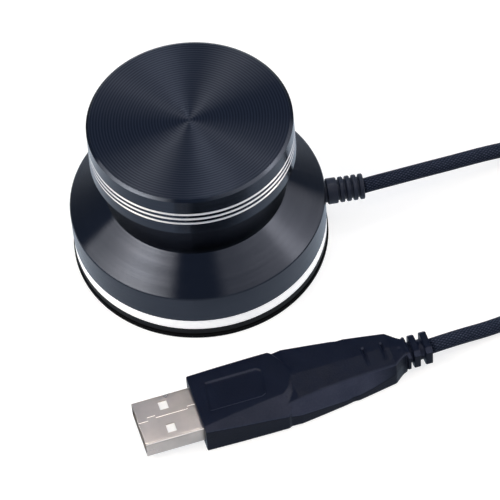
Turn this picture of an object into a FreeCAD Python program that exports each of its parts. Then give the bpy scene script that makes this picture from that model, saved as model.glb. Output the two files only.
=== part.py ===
import FreeCAD, Part
import math
import os
import Sketcher

# A desk knob for computer volume with its USB lead, in millimetres.
# +Z is up and is the axis that the knob turns about, the origin is the middle of the foot's
# underside, and the lead leaves along +X. The plug lies in front of the knob, at negative Y.

DIMENSIONS = {
    # Foot and plate
    "foot_inset": 0.3,
    "foot_height": 1.3,
    "foot_edge": 0.3,
    "foot_groove_width": 1.2,
    "foot_groove_depth": 0.4,
    "base_radius": 29.0,
    "plate_thickness": 2.0,
    "plate_edge": 0.25,
    "plate_rim_thickness": 1.1,
    "plate_rim_height": 1.5,
    "standoff_height": 3.7,
    # Light ring
    "ring_inset": 0.4,
    "ring_height": 3.0,
    "ring_flange_width": 6.1,
    "ring_flange_height": 1.9,
    # Turned housing
    "wall_thickness": 2.4,
    "wall_over_gland": 5.2,
    "wall_edge": 0.2,
    "cone_height": 5.9,
    "cone_drop": 0.95,
    "neck_height": 12.9,
    "neck_thickness": 2.2,
    "deck_height": 3.8,
    "deck_thickness": 2.1,
    "lower_bore_inset": 2.6,
    # Screws
    "screw_inset": 2.0,
    "boss_radius": 3.0,
    "screw_radius": 1.2,
    "screw_gap": 0.05,
    "screw_clearance": 0.15,
    "screw_head_radius": 2.3,
    "screw_head_height": 1.1,
    "screw_head_depth": 0.1,
    "screw_length": 12.5,
    "driver_slot_width": 0.55,
    "driver_slot_length": 2.6,
    "driver_slot_depth": 0.7,
    # Knob
    "knob_radius": 22.9,
    "knob_flare": 0.2,
    "knob_lift": 10.4,
    "knob_height": 11.2,
    "knob_wall": 1.95,
    "knob_top_thickness": 2.5,
    "knob_bevel_width": 0.8,
    "knob_bevel_height": 0.5,
    "knob_edge": 0.25,
    "cut_ring_drop": 4.6,
    "cut_ring_pitch": 1.5,
    "cut_ring_width": 0.75,
    "cut_ring_depth": 0.3,
    "knob_gap": 0.35,
    # Knob insert
    "hub_disc_thickness": 2.2,
    "hub_boss_radius": 5.5,
    "hub_drop": 9.3,
    "hub_rib_height": 2.6,
    "hub_rib_thickness": 1.4,
    "hub_rib_clearance": 1.0,
    "hub_fit": 0.03,
    "clip_thickness": 0.3,
    "clip_width": 3.2,
    "clip_length": 5.6,
    "clip_gap": 0.05,
    # Rotary encoder
    "shaft_radius": 3.0,
    "shaft_lift": 0.6,
    "shaft_length": 18.9,
    "shaft_flat": 1.5,
    "shaft_flat_length": 8.2,
    "shaft_edge": 0.4,
    "running_gap": 0.05,
    "encoder_length": 12.5,
    "encoder_width": 13.2,
    "encoder_base_height": 2.0,
    "encoder_case_height": 4.5,
    "encoder_sheet": 0.4,
    "encoder_cavity_gap": 0.4,
    "encoder_top_thickness": 1.0,
    "lug_width": 3.0,
    "bushing_wall": 0.45,
    "bushing_height": 5.0,
    "bushing_gap": 0.15,
    "washer_radius": 5.6,
    "washer_thickness": 0.5,
    "nut_flats": 10.0,
    "nut_thickness": 2.0,
    "thread_gap": 0.02,
    "rotor_rim": 1.1,
    "rotor_thickness": 1.6,
    "rotor_lift": 0.7,
    "rotor_hub_wall": 0.85,
    "rotor_hub_height": 2.4,
    "detent_radius": 0.35,
    "plunger_radius": 2.0,
    "plunger_height": 1.05,
    "dome_radius": 3.0,
    "dome_rise": 0.25,
    "dome_thickness": 0.1,
    "dome_seat_radius": 3.2,
    "dome_seat_lift": 0.6,
    # Boards
    "board_thickness": 1.6,
    "main_board_margin": 2.1,
    "board_notch_depth": 7.0,
    "board_notch_width": 5.0,
    "encoder_board_length": 20.0,
    "encoder_board_width": 18.0,
    "encoder_board_corner": 1.5,
    "pin_length": 2.8,
    "pin_width": 0.8,
    "pin_thickness": 0.4,
    "pin_pitch": 2.5,
    "pin_clearance": 0.1,
    "pin_row": 6.2,
    "led_inset": 1.9,
    "led_length": 3.2,
    "led_width": 2.8,
    "led_height": 0.8,
    "led_lens_radius": 1.0,
    "led_lens_depth": 0.2,
    "chip_side": 7.0,
    "chip_height": 1.4,
    "chip_standoff": 0.1,
    "chip_place": -4.5,
    "lead_pitch": 0.8,
    "lead_width": 0.35,
    "lead_reach": 1.0,
    "lead_foot": 0.55,
    "lead_thickness": 0.15,
    "lead_height": 0.75,
    "crystal_length": 10.8,
    "crystal_width": 4.5,
    "crystal_height": 3.4,
    "crystal_flange": 0.4,
    "crystal_place": -13.0,
    "capacitor_radius": 2.5,
    "capacitor_height": 5.2,
    "capacitor_base": 0.8,
    "capacitor_place": 15.5,
    "capacitor_spacing": 6.4,
    "link_width": 2.5,
    "link_pitch": 2.54,
    "link_height": 2.5,
    "link_pin": 0.64,
    "link_place": -8.4,
    # Lead inside the base
    "header_place": 6.5,
    "header_length": 5.5,
    "header_width": 10.0,
    "header_height": 4.6,
    "header_wall": 0.8,
    "connector_gap": 0.12,
    "connector_proud": 2.0,
    "wire_radius": 0.45,
    "wire_pitch": 2.0,
    "wire_bundle": 0.55,
    "jacket_end": 20.0,
    # Gland
    "gland_height": 9.0,
    "gland_flange_inset": 2.0,
    "gland_flange_thickness": 1.5,
    "gland_flange_radius": 3.6,
    "gland_neck_radius": 2.5,
    "gland_notch_gap": 0.1,
    "gland_collar_gap": 0.45,
    "gland_collar_radius": 3.0,
    "gland_collar_length": 2.4,
    "gland_rib_radius": 2.95,
    "gland_core_radius": 2.35,
    "gland_rib_pitch": 1.53,
    "gland_rib_gap": 0.48,
    "gland_rib_edge": 0.18,
    # Lead
    "cord_radius": 1.6,
    # Coil
    "coil_middle_x": 101.0,
    "coil_outer_radius": 23.85,
    "coil_turn_pitch": 3.7,
    "coil_layer_pitch": 3.65,
    "coil_lift": 2.2,
    "coil_draw": 0.55,
    "tie_width": 7.0,
    "tie_thickness": 0.5,
    "tie_gap": 0.1,
    # Plug
    "shell_width": 12.0,
    "shell_height": 4.5,
    "shell_length": 18.3,
    "shell_shown": 13.1,
    "shell_sheet": 0.3,
    "shell_corner": 0.6,
    "shell_lift": 1.75,
    "window_length": 2.0,
    "window_width": 2.3,
    "window_place": 6.5,
    "window_spacing": 6.3,
    "seam_width": 0.12,
    "tongue_width": 11.1,
    "tongue_thickness": 1.8,
    "tongue_setback": 0.4,
    "tongue_length": 12.0,
    "contact_width": 1.0,
    "contact_thickness": 0.2,
    "contact_long": 7.4,
    "contact_short": 6.4,
    "contact_outer_place": 3.5,
    "contact_inner_place": 1.0,
    "grip_length": 48.1,
    "grip_width": 16.2,
    "grip_thickness": 8.0,
    "grip_edge": 0.4,
    "panel_depth": 0.3,
    "notch_width": 0.6,
    "notch_depth": 0.65,
    "relief_length": 5.7,
    "relief_axis_height": 4.2,
    "relief_core_radius": 2.3,
    "relief_width": 6.1,
    "relief_thickness": 6.0,
    "relief_corner": 0.9,
    # Cuts
    "overrun": 1.0,
}

SCREW_COUNT = 3
SCREW_START_ANGLE = 90.0
LED_COUNT = 8
CUT_RING_COUNT = 3
FOOT_GROOVE_SHARES = (0.45, 0.78)
HUB_RIB_COUNT = 6
DETENT_COUNT = 20
LEADS_PER_SIDE = 8
LINK_PIN_COUNT = 6
WIRE_COUNT = 4
GLAND_RIB_COUNT = 4
NUT_SIDES = 6
CHIP_SIDES = 4
CUT_RING_FLOOR_SHARE = 0.5
DOME_BEND_SHARES = (0.5, 0.8)
COIL_LAYERS = 4
COIL_HALF_TURNS = 5
TINY = 1e-4
ARC_SHARE = 0.45
WIRE_END_SHARE = 0.3
SAMPLES_PER_ARC = 24
PLUG_ANGLE = 8.6
PLUG_PLACE = (-21.17, -53.71)

# Seam of the plug's shell, as shares of the shell's length and width
SEAM_SHARES = (
    (0.0, 0.01),
    (0.12, 0.01),
    (0.12, 0.085),
    (0.22, 0.085),
    (0.22, 0.035),
    (0.62, 0.035),
    (0.62, 0.09),
    (0.8, 0.09),
)

# Sections of the plug's grip, each the same after half a turn about the plug's own axis:
# station as a share of the grip's length; half width, edge of the flat and ridge as shares of half
# its width; upper and lower line of the near facet and height of the ridge as shares of its thickness
FRONT_GRIP_SHARES = (
    (0.0, 0.963, 0.802, 0.049, 1.0, 0.938, 1.0),
    (0.154, 0.988, 0.667, 0.049, 1.0, 0.812, 1.0),
    (0.31, 1.0, 0.543, 0.049, 1.0, 0.7, 1.0),
    (0.393, 1.0, 0.481, 0.049, 1.0, 0.613, 1.0),
    (0.405, 0.938, 0.432, 0.062, 1.0, 0.675, 1.0),
    (0.43, 0.679, 0.272, 0.099, 1.0, 0.8, 1.0),
    (0.453, 0.358, -0.099, 0.148, 1.0, 0.912, 1.0),
    (0.484, 0.111, 0.037, 0.012, 0.969, 0.912, 0.969),
)
REAR_GRIP_SHARES = (
    (0.383, 0.951, 0.753, 0.049, 0.8, 0.537, 0.925),
    (0.455, 0.969, 0.704, 0.049, 0.887, 0.463, 0.981),
    (0.559, 0.889, 0.617, 0.049, 0.887, 0.375, 0.981),
    (0.684, 0.784, 0.549, 0.049, 0.887, 0.25, 0.981),
    (0.711, 0.747, 0.543, 0.049, 0.887, 0.269, 0.981),
    (0.742, 0.753, 0.537, 0.049, 0.887, 0.287, 0.981),
    (0.809, 0.685, 0.519, 0.049, 0.887, 0.325, 0.981),
    (0.931, 0.556, 0.512, 0.049, 0.887, 0.487, 0.981),
    (0.975, 0.34, 0.321, 0.037, 0.875, 0.525, 0.95),
    (1.0, 0.272, 0.247, 0.025, 0.863, 0.525, 0.9),
)
# Corners of the sunk panel, and the three notches behind it: station, near end and far end
PANEL_SHARES = (
    (0.05, -0.37),
    (0.299, -0.37),
    (0.32, -0.309),
    (0.337, 0.457),
    (0.318, 0.568),
    (0.071, 0.568),
)
NOTCH_SHARES = (
    (0.805, -0.346, 0.272),
    (0.892, -0.346, 0.272),
    (0.965, -0.346, -0.037),
)
# Ribs of the plug's relief, as start and length in shares of the relief's length
RELIEF_RIB_SHARES = (
    (0.0, 0.125),
    (0.25, 0.26),
    (0.72, 0.28),
)

# The free lead, point by point: out of the gland and over to the coil, then from coil to plug
CORD_FROM_BASE_POINTS = [
    (37.97, 0.0, 9.0),
    (41.4, 0.0, 9.0),
    (47.6, 1.75, 8.7),
    (53.15, 3.2, 7.7),
    (60.3, 4.95, 6.4),
    (67.5, 6.6, 5.4),
    (75.0, 8.05, 4.3),
    (82.5, 9.1, 3.1),
    (90.0, 9.4, 2.2),
    (97.8, 9.4, 2.2),
]
CORD_TO_PLUG_POINTS = [
    (97.8, -38.3, 13.15),
    (92.6, -38.3, 13.15),
    (86.0, -38.1, 11.9),
    (79.5, -37.8, 8.6),
    (73.4, -37.5, 4.6),
    (67.8, -37.8, 2.3),
    (63.0, -38.85, 1.65),
    (58.4, -40.0, 2.05),
    (53.8, -41.4, 3.05),
    (49.2, -43.067, 4.2),
    (44.978, -43.706, 4.2),
]

doc = FreeCAD.newDocument("DeskKnob")
sheet = doc.addObject("Spreadsheet::Sheet", "Sizes")


class Length:
    """A length that keeps the sheet expression it came from beside its value."""

    def __init__(self, value, text):
        self.value = float(value)
        self.text = text

    def __float__(self):
        return self.value

    def __add__(self, other):
        return Length(self.value + float(other), f"({self.text} + {text_of(other)})")

    def __radd__(self, other):
        return Length(float(other) + self.value, f"({text_of(other)} + {self.text})")

    def __sub__(self, other):
        return Length(self.value - float(other), f"({self.text} - {text_of(other)})")

    def __rsub__(self, other):
        return Length(float(other) - self.value, f"({text_of(other)} - {self.text})")

    def __mul__(self, other):
        return Length(self.value * float(other), f"({self.text} * {text_of(other)})")

    def __rmul__(self, other):
        return Length(float(other) * self.value, f"({text_of(other)} * {self.text})")

    def __truediv__(self, other):
        return Length(self.value / float(other), f"({self.text} / {text_of(other)})")

    def __neg__(self):
        return Length(-self.value, f"(-1 * {self.text})")


def text_of(number):
    if isinstance(number, Length):
        return number.text
    return repr(float(number))


class Sizes:
    """Every driving dimension of the sheet, as a Length."""


def fill_sheet():
    sizes = Sizes()
    for row, (alias, value) in enumerate(DIMENSIONS.items(), start=1):
        sheet.set(f"A{row}", alias)
        sheet.set(f"B{row}", str(value))
        sheet.setAlias(f"B{row}", alias)
        setattr(sizes, alias, Length(value, f"Sizes.{alias}"))
    doc.recompute()
    return sizes


dim = fill_sheet()


# Helpers for sketches and features

def bind(thing, place, length):
    if isinstance(length, Length):
        thing.setExpression(place, length.text)


def origin_plane(body, role):
    return [item for item in body.Origin.OriginFeatures if item.Role == role][0]


def new_body(label):
    body = doc.addObject("PartDesign::Body", label)
    body.Label = label
    return body


def new_sketch(body, name, plane, offset=0):
    sketch = body.newObject("Sketcher::SketchObject", name)
    sketch.AttachmentSupport = [(origin_plane(body, plane), "")]
    sketch.MapMode = "FlatFace"
    if plane == "XZ_Plane":
        offset = -1 * offset
    sketch.AttachmentOffset = FreeCAD.Placement(
        FreeCAD.Vector(0, 0, float(offset)), FreeCAD.Rotation()
    )
    bind(sketch, "AttachmentOffset.Base.z", offset)
    return sketch


def add_loop(sketch, corners):
    """A closed outline of straight lines, each corner bound to its two lengths."""
    first = sketch.GeometryCount
    count = len(corners)
    points = [FreeCAD.Vector(float(along), float(up), 0) for along, up in corners]
    for index in range(count):
        line = Part.LineSegment(points[index], points[(index + 1) % count])
        sketch.addGeometry(line, False)
    for index in range(count):
        following = first + (index + 1) % count
        sketch.addConstraint(Sketcher.Constraint("Coincident", first + index, 2, following, 1))
    for index, corner in enumerate(corners):
        for kind, length in zip(("DistanceX", "DistanceY"), corner):
            rule = Sketcher.Constraint(kind, -1, 1, first + index, 1, float(length))
            number = sketch.addConstraint(rule)
            bind(sketch, f"Constraints[{number}]", length)


def add_circle(sketch, along, up, radius):
    centre = FreeCAD.Vector(float(along), float(up), 0)
    circle = Part.Circle(centre, FreeCAD.Vector(0, 0, 1), float(radius))
    number = sketch.addGeometry(circle, False)
    for kind, length in (("DistanceX", along), ("DistanceY", up)):
        rule = sketch.addConstraint(Sketcher.Constraint(kind, -1, 1, number, 3, float(length)))
        bind(sketch, f"Constraints[{rule}]", length)
    rule = sketch.addConstraint(Sketcher.Constraint("Radius", number, float(radius)))
    bind(sketch, f"Constraints[{rule}]", radius)


def add_d_shape(sketch, radius, flat):
    """A circle about the origin with its +X side cut off straight at the flat."""
    half = math.acos(float(flat) / float(radius))
    circle = Part.Circle(FreeCAD.Vector(0, 0, 0), FreeCAD.Vector(0, 0, 1), float(radius))
    arc = sketch.addGeometry(Part.ArcOfCircle(circle, half, 2 * math.pi - half), False)
    rise = math.sqrt(float(radius) ** 2 - float(flat) ** 2)
    ends = FreeCAD.Vector(float(flat), -rise, 0), FreeCAD.Vector(float(flat), rise, 0)
    line = sketch.addGeometry(Part.LineSegment(*ends), False)
    sketch.addConstraint(Sketcher.Constraint("Coincident", arc, 3, -1, 1))
    sketch.addConstraint(Sketcher.Constraint("Coincident", arc, 2, line, 1))
    sketch.addConstraint(Sketcher.Constraint("Coincident", arc, 1, line, 2))
    sketch.addConstraint(Sketcher.Constraint("Vertical", line))
    rule = sketch.addConstraint(Sketcher.Constraint("Radius", arc, float(radius)))
    bind(sketch, f"Constraints[{rule}]", radius)
    rule = sketch.addConstraint(Sketcher.Constraint("DistanceX", -1, 1, line, 1, float(flat)))
    bind(sketch, f"Constraints[{rule}]", flat)


def rectangle(low_along, low_up, high_along, high_up):
    return [
        (low_along, low_up),
        (high_along, low_up),
        (high_along, high_up),
        (low_along, high_up),
    ]


def revolve(body, name, corners, axis="V_Axis", cut=False):
    sketch = new_sketch(body, name + "_outline", "XZ_Plane")
    add_loop(sketch, corners)
    kind = "PartDesign::Groove" if cut else "PartDesign::Revolution"
    feature = body.newObject(kind, name)
    feature.Profile = sketch
    feature.ReferenceAxis = (sketch, [axis])
    feature.Angle = 360.0
    return feature


def pad(body, name, sketch, length):
    feature = body.newObject("PartDesign::Pad", name)
    feature.Profile = sketch
    feature.Length = float(length)
    bind(feature, "Length", length)
    return feature


def pocket(body, name, sketch, length, forward=False):
    """A cut that must take material away, or the build stops."""
    doc.recompute()
    before = body.Shape.Volume
    feature = body.newObject("PartDesign::Pocket", name)
    feature.Profile = sketch
    feature.Length = float(length)
    feature.Reversed = forward
    bind(feature, "Length", length)
    doc.recompute()
    if body.Shape.Volume >= before:
        raise RuntimeError(f"{body.Label}: {name} cuts nothing")
    return feature


def polar(body, name, feature, count):
    pattern = body.newObject("PartDesign::PolarPattern", name)
    pattern.Originals = [feature]
    pattern.Axis = (origin_plane(body, "Z_Axis"), [""])
    pattern.Angle = 360.0
    pattern.Occurrences = count
    body.Tip = pattern
    return pattern


def edges_on_circle(shape, radius, height):
    """Names of the round edges about the upright axis with this radius at this height."""
    names = []
    for number, edge in enumerate(shape.Edges, start=1):
        curve = edge.Curve
        if not isinstance(curve, Part.Circle):
            continue
        centred = math.hypot(curve.Center.x, curve.Center.y) < TINY
        if centred and abs(curve.Radius - float(radius)) < TINY:
            if abs(curve.Center.z - float(height)) < TINY:
                names.append(f"Edge{number}")
    return names


def dress(body, name, kind, edges, amount):
    """A chamfer or a fillet on the named edges of the body as it stands."""
    base = body.Tip
    feature = body.newObject(f"PartDesign::{kind}", name)
    feature.Base = (base, edges)
    place = "Size" if kind == "Chamfer" else "Radius"
    setattr(feature, place, float(amount))
    bind(feature, place, amount)
    body.Tip = feature
    return feature


def cylinder(name, radius, height, place, turn=None):
    thing = doc.addObject("Part::Cylinder", name)
    bind(thing, "Radius", radius)
    bind(thing, "Height", height)
    put(thing, place, turn)
    return thing


def box(name, length, width, height, place, turn=None):
    thing = doc.addObject("Part::Box", name)
    bind(thing, "Length", length)
    bind(thing, "Width", width)
    bind(thing, "Height", height)
    put(thing, place, turn)
    return thing


def put(thing, place, turn=None):
    rotation = turn or FreeCAD.Rotation()
    spot = FreeCAD.Vector(*[float(value) for value in place])
    thing.Placement = FreeCAD.Placement(spot, rotation)
    for axis, value in zip("xyz", place):
        bind(thing, f"Placement.Base.{axis}", value)


def cut(name, base, tool):
    thing = doc.addObject("Part::Cut", name)
    thing.Base = base
    thing.Tool = tool
    return thing


def fuse(name, things):
    thing = doc.addObject("Part::MultiFuse", name)
    thing.Shapes = things
    return thing


def group(name, things):
    thing = doc.addObject("Part::Compound", name)
    thing.Links = things
    return thing


def about_z(angle):
    return FreeCAD.Rotation(FreeCAD.Vector(0, 0, 1), angle)


def polar_place(radius, angle, height):
    """A point at this angle on a circle about the upright axis."""
    turn = math.radians(angle)
    return (radius * math.cos(turn), radius * math.sin(turn), height)


# Levels of the base, from the table up
plate_bottom = dim.foot_height
plate_top = plate_bottom + dim.plate_thickness
wall_bottom = plate_top + dim.ring_height
wall_top = dim.gland_height + dim.wall_over_gland
cone_top = wall_top + dim.cone_height
neck_top = cone_top + dim.neck_height
deck_bottom = cone_top + dim.deck_height
deck_top = deck_bottom + dim.deck_thickness
wall_inner = dim.base_radius - dim.wall_thickness
knob_inner = dim.knob_radius - dim.knob_wall
neck_radius = knob_inner - dim.knob_gap
neck_inner = neck_radius - dim.neck_thickness
lower_bore_radius = neck_radius - dim.lower_bore_inset
screw_circle = lower_bore_radius - dim.screw_inset
foot_radius = dim.base_radius - dim.foot_inset
ring_radius = dim.base_radius - dim.ring_inset
ring_flange_radius = wall_inner - dim.ring_flange_width
main_board_radius = wall_inner - dim.main_board_margin
bushing_radius = dim.shaft_radius + dim.running_gap + dim.bushing_wall
main_board_bottom = plate_top + dim.standoff_height
main_board_top = main_board_bottom + dim.board_thickness


# Foot pad: soft disc, with shallow rings in its underside for grip
foot_pad = new_body("foot_pad")
revolve(foot_pad, "foot_disc", [
    (0, 0),
    (foot_radius - dim.foot_edge, 0),
    (foot_radius, dim.foot_edge),
    (foot_radius, dim.foot_height),
    (0, dim.foot_height),
])
for number, groove_share in enumerate(FOOT_GROOVE_SHARES):
    groove_inner = foot_radius * groove_share
    revolve(foot_pad, f"foot_groove_{number}", rectangle(
        groove_inner, 0, groove_inner + dim.foot_groove_width, dim.foot_groove_depth,
    ), cut=True)


# Base plate: closes the base, carries the board on three posts and centres the light ring
base_plate = new_body("base_plate")
rim_outer = ring_flange_radius - dim.screw_clearance
revolve(base_plate, "plate_disc", [
    (0, plate_bottom),
    (dim.base_radius - dim.plate_edge, plate_bottom),
    (dim.base_radius, plate_bottom + dim.plate_edge),
    (dim.base_radius, plate_top),
    (rim_outer, plate_top),
    (rim_outer, plate_top + dim.plate_rim_height),
    (rim_outer - dim.plate_rim_thickness, plate_top + dim.plate_rim_height),
    (rim_outer - dim.plate_rim_thickness, plate_top),
    (0, plate_top),
])
post_sketch = new_sketch(base_plate, "post_circle", "XY_Plane", plate_top)
add_circle(post_sketch, 0, screw_circle, dim.boss_radius)
post = pad(base_plate, "post", post_sketch, dim.standoff_height)
polar(base_plate, "posts", post, SCREW_COUNT)
post_hole_sketch = new_sketch(base_plate, "post_hole_circle", "XY_Plane", main_board_bottom)
add_circle(post_hole_sketch, 0, screw_circle, dim.screw_radius + dim.screw_clearance)
post_hole = pocket(base_plate, "post_hole", post_hole_sketch,
                   dim.standoff_height + dim.plate_thickness)
polar(base_plate, "post_holes", post_hole, SCREW_COUNT)
sink_sketch = new_sketch(base_plate, "head_seat_circle", "XY_Plane", plate_bottom)
add_circle(sink_sketch, 0, screw_circle, dim.screw_head_radius + dim.screw_gap)
sink = pocket(base_plate, "head_seat", sink_sketch,
              dim.screw_head_height + dim.screw_head_depth, forward=True)
polar(base_plate, "head_seats", sink, SCREW_COUNT)


# Light ring: white band with a flange under the lamps
light_ring = new_body("light_ring")
revolve(light_ring, "ring", [
    (ring_flange_radius, plate_top),
    (ring_radius, plate_top),
    (ring_radius, wall_bottom),
    (wall_inner, wall_bottom),
    (wall_inner, plate_top + dim.ring_flange_height),
    (ring_flange_radius, plate_top + dim.ring_flange_height),
])


# Base housing: turned wall, cone and neck, with a deck inside that carries the encoder
base_housing = new_body("base_housing")
deck_hole = bushing_radius + dim.bushing_gap
revolve(base_housing, "turned_shell", [
    (wall_inner, wall_bottom),
    (dim.base_radius, wall_bottom),
    (dim.base_radius, wall_top),
    (neck_radius, cone_top),
    (neck_radius, neck_top),
    (neck_inner, neck_top),
    (neck_inner, deck_top),
    (deck_hole, deck_top),
    (deck_hole, deck_bottom),
    (lower_bore_radius, deck_bottom),
    (lower_bore_radius, cone_top - dim.cone_drop),
    (wall_inner, wall_top - dim.cone_drop),
])
boss_sketch = new_sketch(base_housing, "boss_circle", "XY_Plane", main_board_top)
add_circle(boss_sketch, 0, screw_circle, dim.boss_radius)
boss = pad(base_housing, "boss", boss_sketch, deck_top - main_board_top - dim.overrun)
polar(base_housing, "bosses", boss, SCREW_COUNT)
pilot_sketch = new_sketch(base_housing, "pilot_circle", "XY_Plane", main_board_top)
add_circle(pilot_sketch, 0, screw_circle, dim.screw_radius + dim.screw_gap)
screw_tip = plate_bottom + dim.screw_head_depth + dim.screw_length
pilot = pocket(base_housing, "pilot", pilot_sketch,
               screw_tip - main_board_top + dim.overrun, forward=True)
polar(base_housing, "pilots", pilot, SCREW_COUNT)
notch_radius = dim.gland_neck_radius + dim.gland_notch_gap
notch_round = new_sketch(base_housing, "notch_circle", "YZ_Plane")
add_circle(notch_round, 0, dim.gland_height, notch_radius)
pocket(base_housing, "notch_top", notch_round, dim.base_radius + dim.overrun, forward=True)
notch_legs = new_sketch(base_housing, "notch_sides", "YZ_Plane")
add_loop(notch_legs, rectangle(-notch_radius, plate_top, notch_radius, dim.gland_height))
pocket(base_housing, "notch_mouth", notch_legs, dim.base_radius + dim.overrun, forward=True)
doc.recompute()
dress(base_housing, "shoulder_edge", "Chamfer",
      edges_on_circle(base_housing.Shape, dim.base_radius, wall_top), dim.wall_edge)
doc.recompute()
dress(base_housing, "neck_edge", "Chamfer",
      edges_on_circle(base_housing.Shape, neck_radius, neck_top), dim.wall_edge)


# Cover screws: countersunk from below, through plate and board, into the housing
screws = []
for number in range(SCREW_COUNT):
    angle = SCREW_START_ANGLE + number * 360.0 / SCREW_COUNT
    head_bottom = plate_bottom + dim.screw_head_depth
    spot = polar_place(screw_circle, angle, head_bottom)
    head = doc.addObject("Part::Cone", f"screw_head_{number}")
    bind(head, "Radius1", dim.screw_head_radius)
    bind(head, "Radius2", dim.screw_radius)
    bind(head, "Height", dim.screw_head_height)
    put(head, spot)
    shank = cylinder(f"screw_shank_{number}", dim.screw_radius, dim.screw_length, spot)
    slots = []
    for turn in (0, 90):
        corner = FreeCAD.Vector(-float(dim.driver_slot_length) / 2,
                                -float(dim.driver_slot_width) / 2, 0)
        spin = about_z(angle + turn)
        place = FreeCAD.Vector(*[float(value) for value in spot]) + spin.multVec(corner)
        slots.append(box(f"driver_slot_{number}_{turn}", dim.driver_slot_length,
                         dim.driver_slot_width, dim.driver_slot_depth, tuple(place), spin))
    whole = fuse(f"screw_{number}", [head, shank])
    screws.append(cut(f"cover_screw_{number}", whole, fuse(f"driver_cross_{number}", slots)))
cover_screws = group("cover_screws", screws)


# Knob cap: turned aluminium, open below, with three bright rings cut round its side
knob_cap = new_body("knob_cap")
knob_bottom = cone_top + dim.knob_lift
knob_top = knob_bottom + dim.knob_height
knob_ceiling = knob_top - dim.knob_top_thickness
revolve(knob_cap, "turned_cap", [
    (knob_inner, knob_bottom),
    (dim.knob_radius + dim.knob_flare - dim.knob_edge, knob_bottom),
    (dim.knob_radius + dim.knob_flare, knob_bottom + dim.knob_edge),
    (dim.knob_radius, knob_top - dim.knob_bevel_height),
    (dim.knob_radius - dim.knob_bevel_width, knob_top),
    (0, knob_top),
    (0, knob_ceiling),
    (knob_inner, knob_ceiling),
])
for number in range(CUT_RING_COUNT):
    ring_middle = knob_top - dim.cut_ring_drop - dim.cut_ring_pitch * number
    ring_bottom = dim.knob_radius + dim.knob_flare / 2 - dim.cut_ring_depth
    lip = dim.cut_ring_width / 2
    floor = lip * CUT_RING_FLOOR_SHARE
    outside = dim.knob_radius + dim.knob_flare + dim.overrun
    revolve(knob_cap, f"cut_ring_{number}", [
        (ring_bottom, ring_middle - floor),
        (dim.knob_radius + dim.knob_flare, ring_middle - lip),
        (outside, ring_middle - lip),
        (outside, ring_middle + lip),
        (dim.knob_radius + dim.knob_flare, ring_middle + lip),
        (ring_bottom, ring_middle + floor),
    ], cut=True)


# Encoder levels, from the underside of the deck down
encoder_top = deck_bottom
encoder_base_top = encoder_top - dim.encoder_case_height
encoder_board_top = encoder_base_top - dim.encoder_base_height
encoder_board_bottom = encoder_board_top - dim.board_thickness
link_gap = encoder_board_bottom - main_board_top
rotor_hub_radius = dim.shaft_radius + dim.running_gap + dim.rotor_hub_wall
rotor_radius = rotor_hub_radius + dim.rotor_rim
shaft_bottom = encoder_base_top + dim.shaft_lift
shaft_top = shaft_bottom + dim.shaft_length
hub_bottom = knob_ceiling - dim.hub_drop
flat_bottom = shaft_top - dim.shaft_flat_length


# Knob hub: plastic insert pressed into the cap, ribbed, with a D-shaped bore
knob_hub = new_body("knob_hub")
disc_bottom = knob_ceiling - dim.hub_disc_thickness
revolve(knob_hub, "hub_disc", [
    (0, hub_bottom),
    (dim.hub_boss_radius, hub_bottom),
    (dim.hub_boss_radius, disc_bottom),
    (knob_inner, disc_bottom),
    (knob_inner, knob_ceiling),
    (0, knob_ceiling),
])
hub_rib_sketch = new_sketch(knob_hub, "hub_rib_outline", "XY_Plane",
                            disc_bottom - dim.hub_rib_height)
add_loop(hub_rib_sketch, rectangle(dim.shaft_radius + dim.clip_width / 2,
                                   -dim.hub_rib_thickness / 2,
                                   neck_inner - dim.hub_rib_clearance,
                                   dim.hub_rib_thickness / 2))
hub_rib = pad(knob_hub, "hub_rib", hub_rib_sketch, dim.hub_rib_height + dim.hub_rib_thickness)
polar(knob_hub, "hub_ribs", hub_rib, HUB_RIB_COUNT)
bore_radius = dim.shaft_radius + dim.hub_fit
bore_flat = dim.shaft_flat + dim.clip_thickness + dim.clip_gap * 2
round_bore = new_sketch(knob_hub, "round_bore_circle", "XY_Plane", hub_bottom)
add_circle(round_bore, 0, 0, bore_radius)
pocket(knob_hub, "round_bore", round_bore, flat_bottom - hub_bottom, forward=True)
key_bore = new_sketch(knob_hub, "key_bore_outline", "XY_Plane", flat_bottom)
add_d_shape(key_bore, bore_radius, bore_flat)
pocket(knob_hub, "key_bore", key_bore, knob_ceiling - flat_bottom, forward=True)


# Shaft clip: spring leaf between the flat of the shaft and the flat of the bore
shaft_clip = box("shaft_clip", dim.clip_thickness, dim.clip_width, dim.clip_length, (
    dim.shaft_flat + dim.clip_gap,
    -dim.clip_width / 2,
    flat_bottom + dim.shaft_edge,
))


# Encoder shaft: turned bar with a flat for the knob
encoder_shaft = new_body("encoder_shaft")
revolve(encoder_shaft, "turned_shaft", [
    (0, shaft_bottom),
    (dim.shaft_radius, shaft_bottom),
    (dim.shaft_radius, shaft_top - dim.shaft_edge),
    (dim.shaft_radius - dim.shaft_edge, shaft_top),
    (0, shaft_top),
])
flat_sketch = new_sketch(encoder_shaft, "flat_outline", "XY_Plane", flat_bottom)
add_loop(flat_sketch, rectangle(dim.shaft_flat, -dim.shaft_radius - dim.overrun,
                                dim.shaft_radius + dim.overrun, dim.shaft_radius + dim.overrun))
pocket(encoder_shaft, "flat", flat_sketch, dim.shaft_flat_length + dim.overrun, forward=True)


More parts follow.
